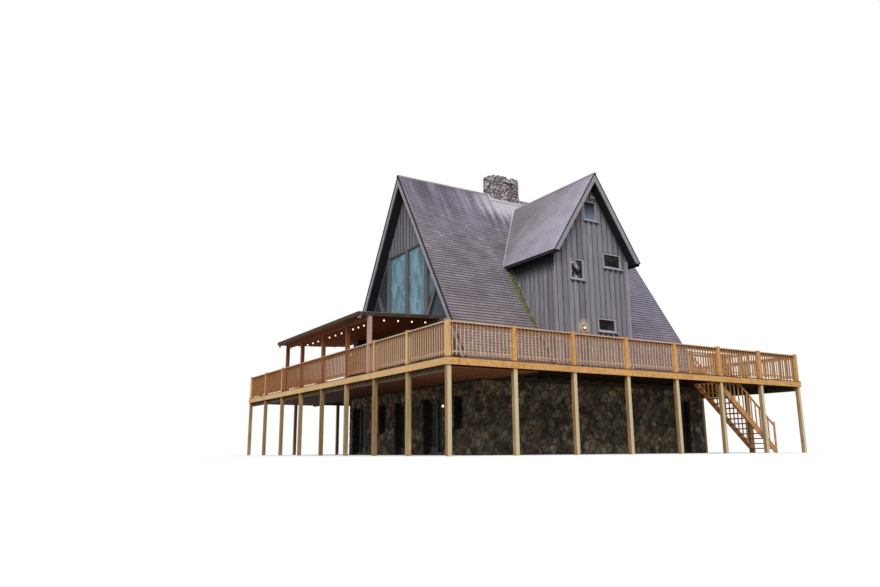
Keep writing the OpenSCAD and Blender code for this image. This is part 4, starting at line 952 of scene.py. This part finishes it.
# Deck: pressure-treated pine posts, beams and joists, faded from green to straw. Each post has
# a shade of its own and long dark drying checks, and painted light makes the side faces of the
# right-hand row pale.
POST_PITCH = 2.4384  # 8 ft
RIGHT_LINE = 7.9  # only the right-hand posts and rail lie past it
treated, tree, where = finish_named("pressure_treated_pine")
stretch = add(tree, "Mapping", {"Vector": where, "Scale": (16.0, 16.0, 0.9)})
grain = add(tree, "TexNoise", {"Vector": stretch, "Scale": 1.3, "Detail": 9.0, "Roughness": 0.65})
body = add(tree, "ValToRGB", {0: grain}, [
    (0.28, "#7e6340"), (0.42, "#b49768"), (0.56, "#d3b581"), (0.72, "#e7cf9f")])
# one shade to each post
bay = add(tree, "VectorMath", {0: where, 1: (POST_PITCH, POST_PITCH, 10.0)}, operation="SNAP")
own = add(tree, "TexWhiteNoise", {"Vector": bay})
shade = add(tree, "ValToRGB", {0: own}, [(0.0, "#c9b8a2"), (0.5, "#e8dccb"), (1.0, "#ffffff")])
body = add(tree, "Mix", {0: 1.0, 6: body, 7: shade}, blend_type="MULTIPLY")
blotch = add(tree, "TexNoise", {"Vector": where, "Scale": 1.6, "Detail": 5.0})
warmer = add(tree, "MapRange", {0: blotch, 1: 0.42, 2: 0.68, 4: 0.75})
aged = add(tree, "Mix", {0: warmer, 6: body, 7: "#a4845c"})
# painted light: pale side faces in the right-hand row
normal = add(tree, "SeparateXYZ", {0: add(tree, "NewGeometry").outputs["Normal"]})
x, y, z = add(tree, "SeparateXYZ", {0: where}).outputs
side = add(tree, "Math", {0: normal.outputs["X"]}, operation="ABSOLUTE")
pale = add(tree, "MapRange", {0: side, 1: 0.5, 2: 0.9, 4: 0.62})
last = add(tree, "Math", {0: x, 1: RIGHT_LINE}, operation="GREATER_THAN")
pale = add(tree, "Math", {0: pale, 1: last}, operation="MULTIPLY")
colour = add(tree, "Mix", {0: pale, 6: aged, 7: "#fce8bc"})
surface(tree, colour, 0.8, grain, 0.5, 0.004)
dress(treated, "deck_posts")

# Joists: the same pine in a dull dark brown, partly its own and partly painted shade under the deck
framing = plain_finish(
    "shaded_pine_framing", [(0.3, "#2c251a"), (0.5, "#453a27"), (0.7, "#5b4e36")],
    {"Scale": 5.0, "Detail": 8.0, "Roughness": 0.65}, 0.85, 0.3, 0.003)
dress(framing, "deck_joists", "rim_joists")

# Dropped beams: greener than the posts, with a painted highlight along the lower edge
beam_pine, tree, where = finish_named("green_brown_pine_beams")
x, y, z = add(tree, "SeparateXYZ", {0: where}).outputs
grain = add(tree, "TexNoise", {"Vector": where, "Scale": 5.0, "Detail": 8.0, "Roughness": 0.65})
plank = add(tree, "ValToRGB", {0: grain}, [(0.3, "#453c26"), (0.7, "#776a48")])
foot = add(tree, "MapRange", {0: z, 1: 2.56, 2: 2.5, 4: 0.5})
colour = add(tree, "Mix", {0: foot, 6: plank, 7: "#9a8a64"})
surface(tree, colour, 0.85, grain, 0.3, 0.003)
dress(beam_pine, "deck_beams")

# Deck boards: cedar, about 140 mm wide with 5 mm between, oiled honey brown, with painted shade
# on their sawn sides and ends, laid along the house's sides round the stairwell. They stand for
# the plain deck solid.
DECK_BOARD = 0.143
DECK_GAP = 0.005
BOARD_LENGTHS = (4.877, 3.658)
DECK_LOW, DECK_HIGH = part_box("decking")
WELL = (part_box("stair_treads")[0].x - 0.045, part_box("stair_treads")[1].x + 0.045, 3.6)
oiled, tree, where = finish_named("oiled_cedar_boards")
tone = add(tree, "Attribute", attribute_name="tone").outputs["Fac"]
body = add(tree, "ValToRGB", {0: tone}, [(0.0, "#7a5a3a"), (0.5, "#916d48"), (1.0, "#a68158")])
grain = add(tree, "TexNoise", {"Vector": where, "Scale": 14.0, "Detail": 8.0, "Roughness": 0.6})
fleck = add(tree, "ValToRGB", {0: grain}, [(0.3, "#8f8a84"), (0.6, "#ffffff")])
flecked = add(tree, "Mix", {0: 0.7, 6: body, 7: fleck}, blend_type="MULTIPLY")
# painted shade: near-black on every face that does not look up
normal = add(tree, "SeparateXYZ", {0: add(tree, "NewGeometry").outputs["Normal"]})
top = add(tree, "MapRange", {0: normal.outputs["Z"], 1: 0.2, 2: 0.8, 3: 0.1, 4: 1.0})
colour = add(tree, "Mix", {0: top, 6: "#2c1a0e", 7: flecked})
surface(tree, colour, 0.7, grain, 0.3, 0.003)


def lay_boards(bm, along, low, high, pitch, gap, length, rng):
    """Boards that fill a box side by side, each with a tone of its own. They run along an axis,
    in staggered lengths, or in one piece where the length is 0."""
    tone = bm.verts.layers.float["tone"]
    across = 1 - along
    count = max(1, round((high[across] - low[across]) / pitch))
    wide = (high[across] - low[across]) / count
    step = length or high[along] - low[along]
    butt = 0.003 if length else 0
    for i in range(count):
        cut = low[along] - length * 0.37 * (i % 3)
        while cut < high[along]:
            near = list(low)
            far = list(high)
            near[across] = low[across] + i * wide + gap / 2
            far[across] = low[across] + i * wide + wide - gap / 2
            near[along] = max(cut, low[along])
            far[along] = min(cut + step, high[along]) - butt
            cut += step
            if far[along] - near[along] < 0.02:
                continue
            value = rng.random()
            for v in block(bm, near, far):
                v[tone] = value


bm = bmesh.new()
bm.verts.layers.float.new("tone")
rng = random.Random(51)
for along, x0, x1, y0, y1 in [
        (0, DECK_LOW.x, DECK_HIGH.x, DECK_LOW.y, -HALF_L),
        (0, DECK_LOW.x, DECK_HIGH.x, HALF_L, DECK_HIGH.y),
        (1, DECK_LOW.x, -HALF_W, -HALF_L, HALF_L),
        (1, HALF_W, WELL[0], -HALF_L, HALF_L),
        (1, WELL[0], WELL[1], -HALF_L, WELL[2]),
        (1, WELL[1], DECK_HIGH.x, -HALF_L, HALF_L)]:
    lay_boards(bm, along, (x0, y0, DECK_LOW.z), (x1, y1, DECK_HIGH.z), DECK_BOARD, DECK_GAP,
               BOARD_LENGTHS[along], rng)
deck_boards = fix("deck_boards", bm, oiled)
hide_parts("decking")

# Ceiling under the front deck: tongued boards stained orange-brown, hung below the joists to
# keep the rain off, with a dark lath along their edges as painted shade. They stand for the plain
# sheet.
russet, tree, where = finish_named("russet_ceiling_boards")
tone = add(tree, "Attribute", attribute_name="tone").outputs["Fac"]
body = add(tree, "ValToRGB", {0: tone}, [(0.0, "#b8683a"), (0.5, "#cf7c48"), (1.0, "#e08f5a")])
x, y, z = add(tree, "SeparateXYZ", {0: where}).outputs
damp = add(tree, "MapRange", {0: x, 1: 6.0, 2: -3.0, 4: 0.9})
darker = add(tree, "Mix", {0: damp, 6: body, 7: "#6b342a"})
grain = add(tree, "TexNoise", {"Vector": where, "Scale": 9.0, "Detail": 8.0, "Roughness": 0.6})
fleck = add(tree, "ValToRGB", {0: grain}, [(0.3, "#8d8782"), (0.6, "#ffffff")])
colour = add(tree, "Mix", {0: 0.7, 6: darker, 7: fleck}, blend_type="MULTIPLY")
surface(tree, colour, 0.55, grain, 0.3, 0.002)
low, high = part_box("deck_ceiling")
bm = bmesh.new()
bm.verts.layers.float.new("tone")
rng = random.Random(52)
for x0, x1, y1 in ((low.x, -HALF_W, high.y), (-HALF_W, HALF_W, -HALF_L), (HALF_W, high.x, high.y)):
    lay_boards(bm, 1, (x0, low.y, low.z), (x1, y1, high.z), SOFFIT_BOARD, 0.006, 0, rng)
ceiling = fix("ceiling_boards", bm, russet)
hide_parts("deck_ceiling")

# painted shade: dark laths along the ceiling's edges
bm = bmesh.new()
block(bm, (-HALF_W, -HALF_L - 0.06, low.z - 0.06), (HALF_W, -HALF_L, low.z))
for x0, x1 in ((low.x, -HALF_W), (HALF_W, high.x)):
    block(bm, (x0, high.y - 0.03, low.z - 0.06), (x1, high.y, low.z))
fix("ceiling_edge_laths", bm, framing)

# Fascia and railings: western red cedar under an orange oil stain. The posts and the fascia
# keep it honey-bright. The front balusters go from brown to straw towards the right, partly
# bleached by the sun and partly painted light, the right-hand ones have bleached, and every
# baluster has painted shade on its flanks.
CAP_Z = 3.937  # underside of the cap rail
DECK_TOP = DECK_HIGH.z
POST_IN = 0.11  # from the boards' edge to the middle of a rail post
cedar, tree, where = finish_named("stained_red_cedar")
x, y, z = add(tree, "SeparateXYZ", {0: where}).outputs
grain = add(tree, "TexNoise", {"Vector": where, "Scale": 7.0, "Detail": 9.0, "Roughness": 0.62})
brown = add(tree, "ValToRGB", {0: grain}, [
    (0.28, "#8a552b"), (0.45, "#ba7a43"), (0.6, "#d08e50"), (0.75, "#dca265")])
pale = add(tree, "ValToRGB", {0: grain}, [
    (0.28, "#bd9066"), (0.45, "#dfb388"), (0.6, "#ecc7a0"), (0.75, "#f2d5b5")])
honey = add(tree, "ValToRGB", {0: grain}, [
    (0.28, "#c4853f"), (0.45, "#e7a858"), (0.6, "#f2b96d"), (0.75, "#facd90")])
# each wood's shade by the side of the deck that it faces
front = add(tree, "MapRange", {0: y, 1: -8.5, 2: -8.6, 4: 0.6})
honey = add(tree, "Mix", {0: front, 6: honey, 7: "#f2cb8d"})
# the right-hand balusters turn golden towards the back
golden_toward_back = add(tree, "MapRange", {0: y, 1: 0.5, 2: 3.0, 4: 0.7})
pale = add(tree, "Mix", {0: golden_toward_back, 6: pale, 7: "#d49d5c"})
right = add(tree, "MapRange", {0: x, 1: RIGHT_LINE - 0.03, 2: RIGHT_LINE})
# the front balusters lighten towards the right: partly sun bleaching, partly painted light out of the
# porch roof's shade
bleach_and_painted_light = add(tree, "MapRange", {0: x, 1: 0.0, 2: 4.0, 4: 0.8})
tanned = add(tree, "Mix", {0: bleach_and_painted_light, 6: brown, 7: "#eecba3"})
sticks = add(tree, "Mix", {0: right, 6: tanned, 7: pale})
# painted shade below the cap; the cap's top is pale
under_cap = add(tree, "MapRange", {0: z, 1: CAP_Z - 0.157, 2: CAP_Z - 0.107, 4: 0.65})
open_top = add(tree, "MapRange", {0: z, 1: CAP_Z - 0.003, 2: CAP_Z + 0.001, 3: 1.0, 4: 0.0})
under_cap = add(tree, "Math", {0: under_cap, 1: open_top}, operation="MULTIPLY")
sticks = add(tree, "Mix", {0: under_cap, 6: sticks, 7: "#9a6232"})
cap = add(tree, "MapRange", {0: z, 1: CAP_Z - 0.001, 2: CAP_Z + 0.001, 4: 0.55})
sticks = add(tree, "Mix", {0: cap, 6: sticks, 7: "#e8c9a4"})
# place along a rail, which tells posts from balusters, and painted shade on the balusters' flanks
from_middle = add(tree, "Math", {0: x, 1: (DECK_LOW.x + DECK_HIGH.x) / 2}, operation="SUBTRACT")
from_middle = add(tree, "Math", {0: from_middle}, operation="ABSOLUTE")
beside = add(tree, "Math", {0: from_middle, 1: 9.62}, operation="GREATER_THAN")
along_x = add(tree, "Math", {0: x, 1: DECK_HIGH.x - POST_IN}, operation="SUBTRACT")
along_y = add(tree, "Math", {0: y, 1: DECK_HIGH.y - POST_IN}, operation="SUBTRACT")
along = add(tree, "Mix", {0: beside, 2: along_x, 3: along_y})
normal = add(tree, "SeparateXYZ", {0: add(tree, "NewGeometry").outputs["Normal"]})
flank_painted_shade = add(tree, "Mix", {0: beside, 2: normal.outputs["X"], 3: normal.outputs["Y"]})
flank_painted_shade = add(tree, "Math", {0: flank_painted_shade}, operation="ABSOLUTE")
flank_painted_shade = add(tree, "MapRange", {0: flank_painted_shade, 1: 0.5, 2: 0.9, 4: 0.5})
sticks = add(tree, "Mix", {0: flank_painted_shade, 6: sticks, 7: "#4a2a12"})
bays = add(tree, "Math", {0: along, 1: POST_PITCH}, operation="DIVIDE")
to_post = add(tree, "Math", {0: bays, 1: 0.5}, operation="PINGPONG")
post = add(tree, "MapRange", {0: to_post, 1: 0.034, 2: 0.032})
below = add(tree, "MapRange", {0: z, 1: DECK_TOP, 2: DECK_TOP - 0.015})
bright = add(tree, "Math", {0: post, 1: below}, operation="MAXIMUM")
stained = add(tree, "Mix", {0: bright, 6: sticks, 7: honey})
# redder patches, and a painted shadow along the fascia's top edge
blotch = add(tree, "TexNoise", {"Vector": where, "Scale": 0.9, "Detail": 4.0})
redder = add(tree, "MapRange", {0: blotch, 1: 0.4, 2: 0.7, 4: 0.35})
ruddy = add(tree, "Mix", {0: redder, 6: stained, 7: "#b97a42"})
edge = add(tree, "MapRange", {0: z, 1: DECK_TOP - 0.05, 2: DECK_TOP - 0.04, 4: 0.9})
fascia_top_painted_shadow = add(tree, "Math", {0: edge, 1: below}, operation="MULTIPLY")
colour = add(tree, "Mix", {0: fascia_top_painted_shadow, 6: ruddy, 7: "#4a2c12"})
surface(tree, colour, 0.65, grain, 0.3, 0.003)
dress(cedar, "deck_fascia", "railing_front", "railing_right", "railing_back", "railing_left",
      "stairwell_railing")

# Laths under the cap rails: sawn cedar in dark brown, on the upper inner rail all round the deck,
# put there as painted shade under the cap
bm = bmesh.new()
for y in (-8.532, 8.502):
    block(bm, (-11.5, y, CAP_Z - 0.065), (8.0, y + 0.03, CAP_Z))
for x in (-11.502, 7.967):
    block(bm, (x, -8.5, CAP_Z - 0.065), (x + 0.03, 8.5, CAP_Z))
fix("cap_rail_painted_shade_laths", bm, framing)

# Stair: the same cedar, but older and browner
stair_wood = plain_finish(
    "worn_brown_cedar", [(0.28, "#9a6733"), (0.45, "#c98d4b"), (0.6, "#dba260"), (0.75, "#e5b981")],
    {"Scale": 8.0, "Detail": 9.0, "Roughness": 0.62}, 0.7, 0.3, 0.003)
dress(stair_wood, "stair_stringers", "stair_treads", "stair_handrails")

# Porch over the front of the deck: square cedar posts under one beam, stained red-brown and
# rubbed pinkish where the rain reaches them
porch_wood, tree, where = finish_named("red_brown_porch_cedar")
stretch = add(tree, "Mapping", {"Vector": where, "Scale": (12.0, 12.0, 1.0)})
grain = add(tree, "TexNoise", {"Vector": stretch, "Scale": 1.5, "Detail": 8.0})
body = add(tree, "ValToRGB", {0: grain}, [(0.3, "#66391c"), (0.5, "#94552c"), (0.7, "#ad6b3b")])
x, y, z = add(tree, "SeparateXYZ", {0: where}).outputs
open_air = add(tree, "MapRange", {0: x, 1: 2.4, 2: 2.5, 4: 0.85})
colour = add(tree, "Mix", {0: open_air, 6: body, 7: "#c9ab98"})
surface(tree, colour, 0.7, grain, 0.4, 0.003)
dress(porch_wood, "porch_frame")

# Porch roof: russet boards 140 mm wide on the beam, with the bulbs' light from below painted on
# them, and mineral felt nailed over them in sheets one metre wide
porch_cover, tree, where = finish_named("boards_below_felt_above")
x, y, z = add(tree, "SeparateXYZ", {0: where}).outputs
normal = add(tree, "SeparateXYZ", {0: add(tree, "NewGeometry").outputs["Normal"]})
above = add(tree, "MapRange", {0: normal.outputs["Z"], 1: -0.1, 2: 0.1})
board = add(tree, "Math", {0: x, 1: SOFFIT_BOARD}, operation="DIVIDE")
gap = add(tree, "Math", {0: board}, operation="FRACT")
line = add(tree, "ValToRGB", {0: gap}, [(0.0, "#2a1a10"), (0.07, "#ffffff"), (1.0, "#ffffff")])
grain = add(tree, "TexNoise", {"Vector": where, "Scale": 8.0, "Detail": 8.0})
glowing = add(tree, "ValToRGB", {0: grain}, [(0.3, "#8d4a22"), (0.7, "#c87738")])
# painted lamp light: the boards are bright on the left and fall to dark red-brown at the right-hand
# end
lamp_light_falloff = add(tree, "MapRange", {0: x, 1: 0.0, 2: 2.4, 4: 0.85})
timber = add(tree, "Mix", {0: lamp_light_falloff, 6: glowing, 7: "#4f2418"})
boarded = add(tree, "Mix", {0: 1.0, 6: timber, 7: line}, blend_type="MULTIPLY")
lap = add(tree, "Math", {0: x}, operation="FRACT")
seam = add(tree, "ValToRGB", {0: lap}, [(0.0, "#39373b"), (0.02, "#ffffff"), (1.0, "#ffffff")])
cloud = add(tree, "TexNoise", {"Vector": where, "Scale": 1.8, "Detail": 7.0})
felt = add(tree, "ValToRGB", {0: cloud}, [(0.3, "#5a565b"), (0.7, "#7b767b")])
felted = add(tree, "Mix", {0: 1.0, 6: felt, 7: seam}, blend_type="MULTIPLY")
colour = add(tree, "Mix", {0: above, 6: boarded, 7: felted})
surface(tree, colour, 0.75, grain, 0.3, 0.003)
dress(porch_cover, "porch_roof")

# Eaves trim of the porch roof: a dull brown fascia board along three sides, and above it a
# folded edge of grey painted steel that throws the rain clear
PORCH_LOW, PORCH_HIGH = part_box("porch_roof")
PORCH_FRONT = 5.1  # its upper face at the front edge
PORCH_PITCH = 0.15 / (-HALF_L - PORCH_LOW.y)
PORCH_BACK = -HALF_L - 0.46


def rake_piece(bm, low, high, rise):
    """A level piece set against the roof's pitch, which it then follows."""
    for v in block(bm, low, high):
        v.co.z += rise + (v.co.y - PORCH_LOW.y) * PORCH_PITCH


bm = bmesh.new()
block(bm, (PORCH_LOW.x - 0.02, PORCH_LOW.y - 0.02, PORCH_FRONT - 0.13),
      (PORCH_HIGH.x + 0.02, PORCH_LOW.y, PORCH_FRONT - 0.012))
for x, out in ((PORCH_LOW.x, -0.02), (PORCH_HIGH.x, 0.02)):
    near, far = sorted((x, x + out))
    rake_piece(bm, (near, PORCH_LOW.y - 0.02, 0), (far, PORCH_BACK, 0.118), PORCH_FRONT - 0.13)
fix("porch_fascia", bm, framing)

edge_metal = plain_finish(
    "dull_grey_painted_steel", [(0.3, "#636160"), (0.7, "#7d7b79")], {"Scale": 5.0, "Detail": 5.0},
    0.4, 0.1, 0.002, more={"Metallic": 0.3})
bm = bmesh.new()
block(bm, (PORCH_LOW.x - 0.035, PORCH_LOW.y - 0.035, PORCH_FRONT - 0.018),
      (PORCH_HIGH.x + 0.035, PORCH_LOW.y + 0.06, PORCH_FRONT + 0.006))
for x, out in ((PORCH_LOW.x, -0.035), (PORCH_HIGH.x, 0.035)):
    near, far = sorted((x + out, x - out * 1.5))
    rake_piece(bm, (near, PORCH_LOW.y + 0.06, 0), (far, PORCH_BACK, 0.024), PORCH_FRONT - 0.018)
fix("porch_roof_edge", bm, edge_metal)

# Basement joinery: softwood door and window frames and leaves, brushed with a near-black
# brown paint that has kept a dull gloss
dark_paint = plain_finish(
    "near_black_joinery_paint", [(0.3, "#1c1917"), (0.7, "#322c28")], {"Scale": 4.0, "Detail": 6.0},
    0.4, 0.15, 0.002)
dress(dark_paint, "basement_frames", "door_left", "door_middle", "door_right", "side_door")

# Lanterns: small black steel wall lanterns, a four-sided cap over a lit glass, beside the
# right-hand lower door and on each cross gable
# Powder coat: a soft dark sheen, with its fine pimples drawn coarse enough to show
black_steel = plain_finish(
    "black_powder_coated_steel", [(0.3, "#1b1b1d"), (0.7, "#2c2c2f")], {"Scale": 60.0, "Detail": 3.0},
    0.45, 0.2, 0.001, more={"Metallic": 0.4})

# Lit glass: it glows a warm cream, a little uneven, as over a filament
warm_glass, tree, where = finish_named("warm_lit_glass")
ripple = add(tree, "TexNoise", {"Vector": where, "Scale": 50.0, "Detail": 2.0})
colour = add(tree, "ValToRGB", {0: ripple}, [(0.3, "#ffcf9a"), (0.7, "#ffe6c4")])
surface(tree, "#ffe2b8", 0.25, more={"Emission Color": colour, "Emission Strength": 2.0})

lanterns = bmesh.new()
panes = bmesh.new()
places = [facing((2.975, -HALF_L, 1.795), (1, 0, 0))]
places += [facing((side * wall_x, LAMP_Y, 4.775), (0, side, 0)) for side in (1, -1)]
for place in places:
    made = block(lanterns, (-0.05, -0.085, 0.0), (0.05, 0.085, 0.012))
    made += block(lanterns, (-0.01, 0.03, 0.01), (0.01, 0.045, 0.05))
    made += block(lanterns, (-0.04, -0.075, 0.012), (0.04, -0.063, 0.088))
    for x in (-0.05, 0.042):
        for z in (0.016, 0.078):
            made += block(lanterns, (x, -0.065, z), (x + 0.008, 0.03, z + 0.008))
    upright = Matrix.Translation((0, 0.055, 0.05)) @ Matrix.Rotation(-math.pi / 2, 4, "X")
    cap = upright @ Matrix.Rotation(math.pi / 4, 4, "Z")
    made += bmesh.ops.create_cone(
        lanterns, cap_ends=True, segments=4, radius1=0.068, radius2=0.012, depth=0.05,
        matrix=cap)["verts"]
    bmesh.ops.transform(lanterns, matrix=place, verts=made)
    bulb = Matrix.Translation((0, -0.016, 0.052)) @ Matrix.Diagonal((0.044, 0.06, 0.034, 1))
    made = bmesh.ops.create_icosphere(panes, subdivisions=2, radius=1, matrix=bulb)["verts"]
    bmesh.ops.transform(panes, matrix=place, verts=made)
bmesh.ops.recalc_face_normals(lanterns, faces=lanterns.faces)
lantern_frames = fix("lantern_frames", lanterns, black_steel)
fix("lantern_bulbs", panes, warm_glass)

# Twin spots: two white floodlights on one round base, under each cross gable's peak and at
# the two front corners of the porch roof
spot_white = plain_finish(
    "white_spot_lamp_housing", [(0.3, "#a9a8a6"), (0.7, "#cfcecb")], {"Scale": 20.0, "Detail": 4.0},
    0.35, 0.1, 0.001)


def cone(bm, segments, base, tip, length, place):
    """A round piece along its place's Z, the same at both ends or tapered."""
    return bmesh.ops.create_cone(bm, cap_ends=True, segments=segments, radius1=base, radius2=tip,
                                 depth=length, matrix=place)["verts"]


def spot(bm, start, direction, length, radius):
    """One floodlight: a tapered housing with a recessed round face."""
    direction = Vector(direction).normalized()
    turn = direction.to_track_quat("Z", "Y").to_matrix().to_4x4()
    place = Matrix.Translation(Vector(start) + direction * length / 2) @ turn
    housing = cone(bm, 20, radius * 0.55, radius, length, place)
    front = max((f for v in housing for f in v.link_faces),
                key=lambda f: f.calc_center_median().dot(direction))
    bmesh.ops.inset_individual(bm, faces=[front], thickness=radius * 0.15, depth=0)
    bmesh.ops.translate(bm, vec=-direction * 0.012, verts=front.verts)


bm = bmesh.new()
for side in (1, -1):
    for y in (-0.045, 0.135):
        lens_at = (side * (wall_x + 0.04), GABLE_Y + y * 0.55 + 0.045, 10.19)
        spot(bm, lens_at, (side, (y - 0.045) * 4, -0.45), 0.11, 0.045)
    base = Matrix.Translation((side * (wall_x + 0.02), GABLE_Y + 0.07, 10.2))
    cone(bm, 24, 0.055, 0.055, 0.04, base @ Matrix.Rotation(math.pi / 2, 4, "Y"))
fix("gable_twin_spots", bm, spot_white)
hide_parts("wall_lamps")

bm = bmesh.new()
PORCH_POSTS = (-6.111, -4.191, -1.7526, 0.6858, 2.6058)
CORNERS = (PORCH_POSTS[0], PORCH_POSTS[-1])
PORCH_UNDER = PORCH_FRONT - 0.12
for x in CORNERS:
    y = PORCH_LOW.y + 0.09
    under = PORCH_UNDER + 0.045 * PORCH_PITCH
    cone(bm, 24, 0.05, 0.05, 0.03, Matrix.Translation((x, y, under - 0.012)))
    for lean in (-1, 1):
        spot(bm, (x + lean * 0.02, y, under - 0.02), (lean * 0.8, -0.6, -0.9), 0.1, 0.042)
fix("porch_corner_spots", bm, spot_white)

# Festoon bulbs: pear-shaped warm bulbs in black sockets, hung on short leads from the porch
# beam and along both sides of its roof
RAIL_Y = (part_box("railing_front")[0].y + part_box("railing_front")[1].y) / 2
BEAM_Z = PORCH_UNDER + (RAIL_Y - 0.07 - PORCH_LOW.y) * PORCH_PITCH - 0.14
hung = []
for left, right in zip(PORCH_POSTS, PORCH_POSTS[1:]):
    for k in (1, 2, 3):
        hung.append((right - k * (right - left) / 4, RAIL_Y, BEAM_Z))
for x in CORNERS:
    for k in (1, 2, 3, 4):
        y = RAIL_Y + k * (-HALF_L - RAIL_Y) / 5
        hung.append((x, y, PORCH_UNDER + (y - PORCH_LOW.y) * PORCH_PITCH))
sockets = bmesh.new()
bulbs = bmesh.new()
for x, y, z in hung:
    cone(sockets, 8, 0.004, 0.004, 0.1, Matrix.Translation((x, y, z - 0.045)))
    cone(sockets, 12, 0.016, 0.013, 0.05, Matrix.Translation((x, y, z - 0.112)))
    pear = Matrix.Translation((x, y, z - 0.16)) @ Matrix.Diagonal((0.029, 0.029, 0.033, 1))
    bmesh.ops.create_icosphere(bulbs, subdivisions=2, radius=1, matrix=pear)
for f in bulbs.faces:
    f.smooth = True
fix("festoon_sockets", sockets, black_steel)
festoon = fix("festoon_bulbs", bulbs, warm_glass)
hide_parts("porch_lamps")
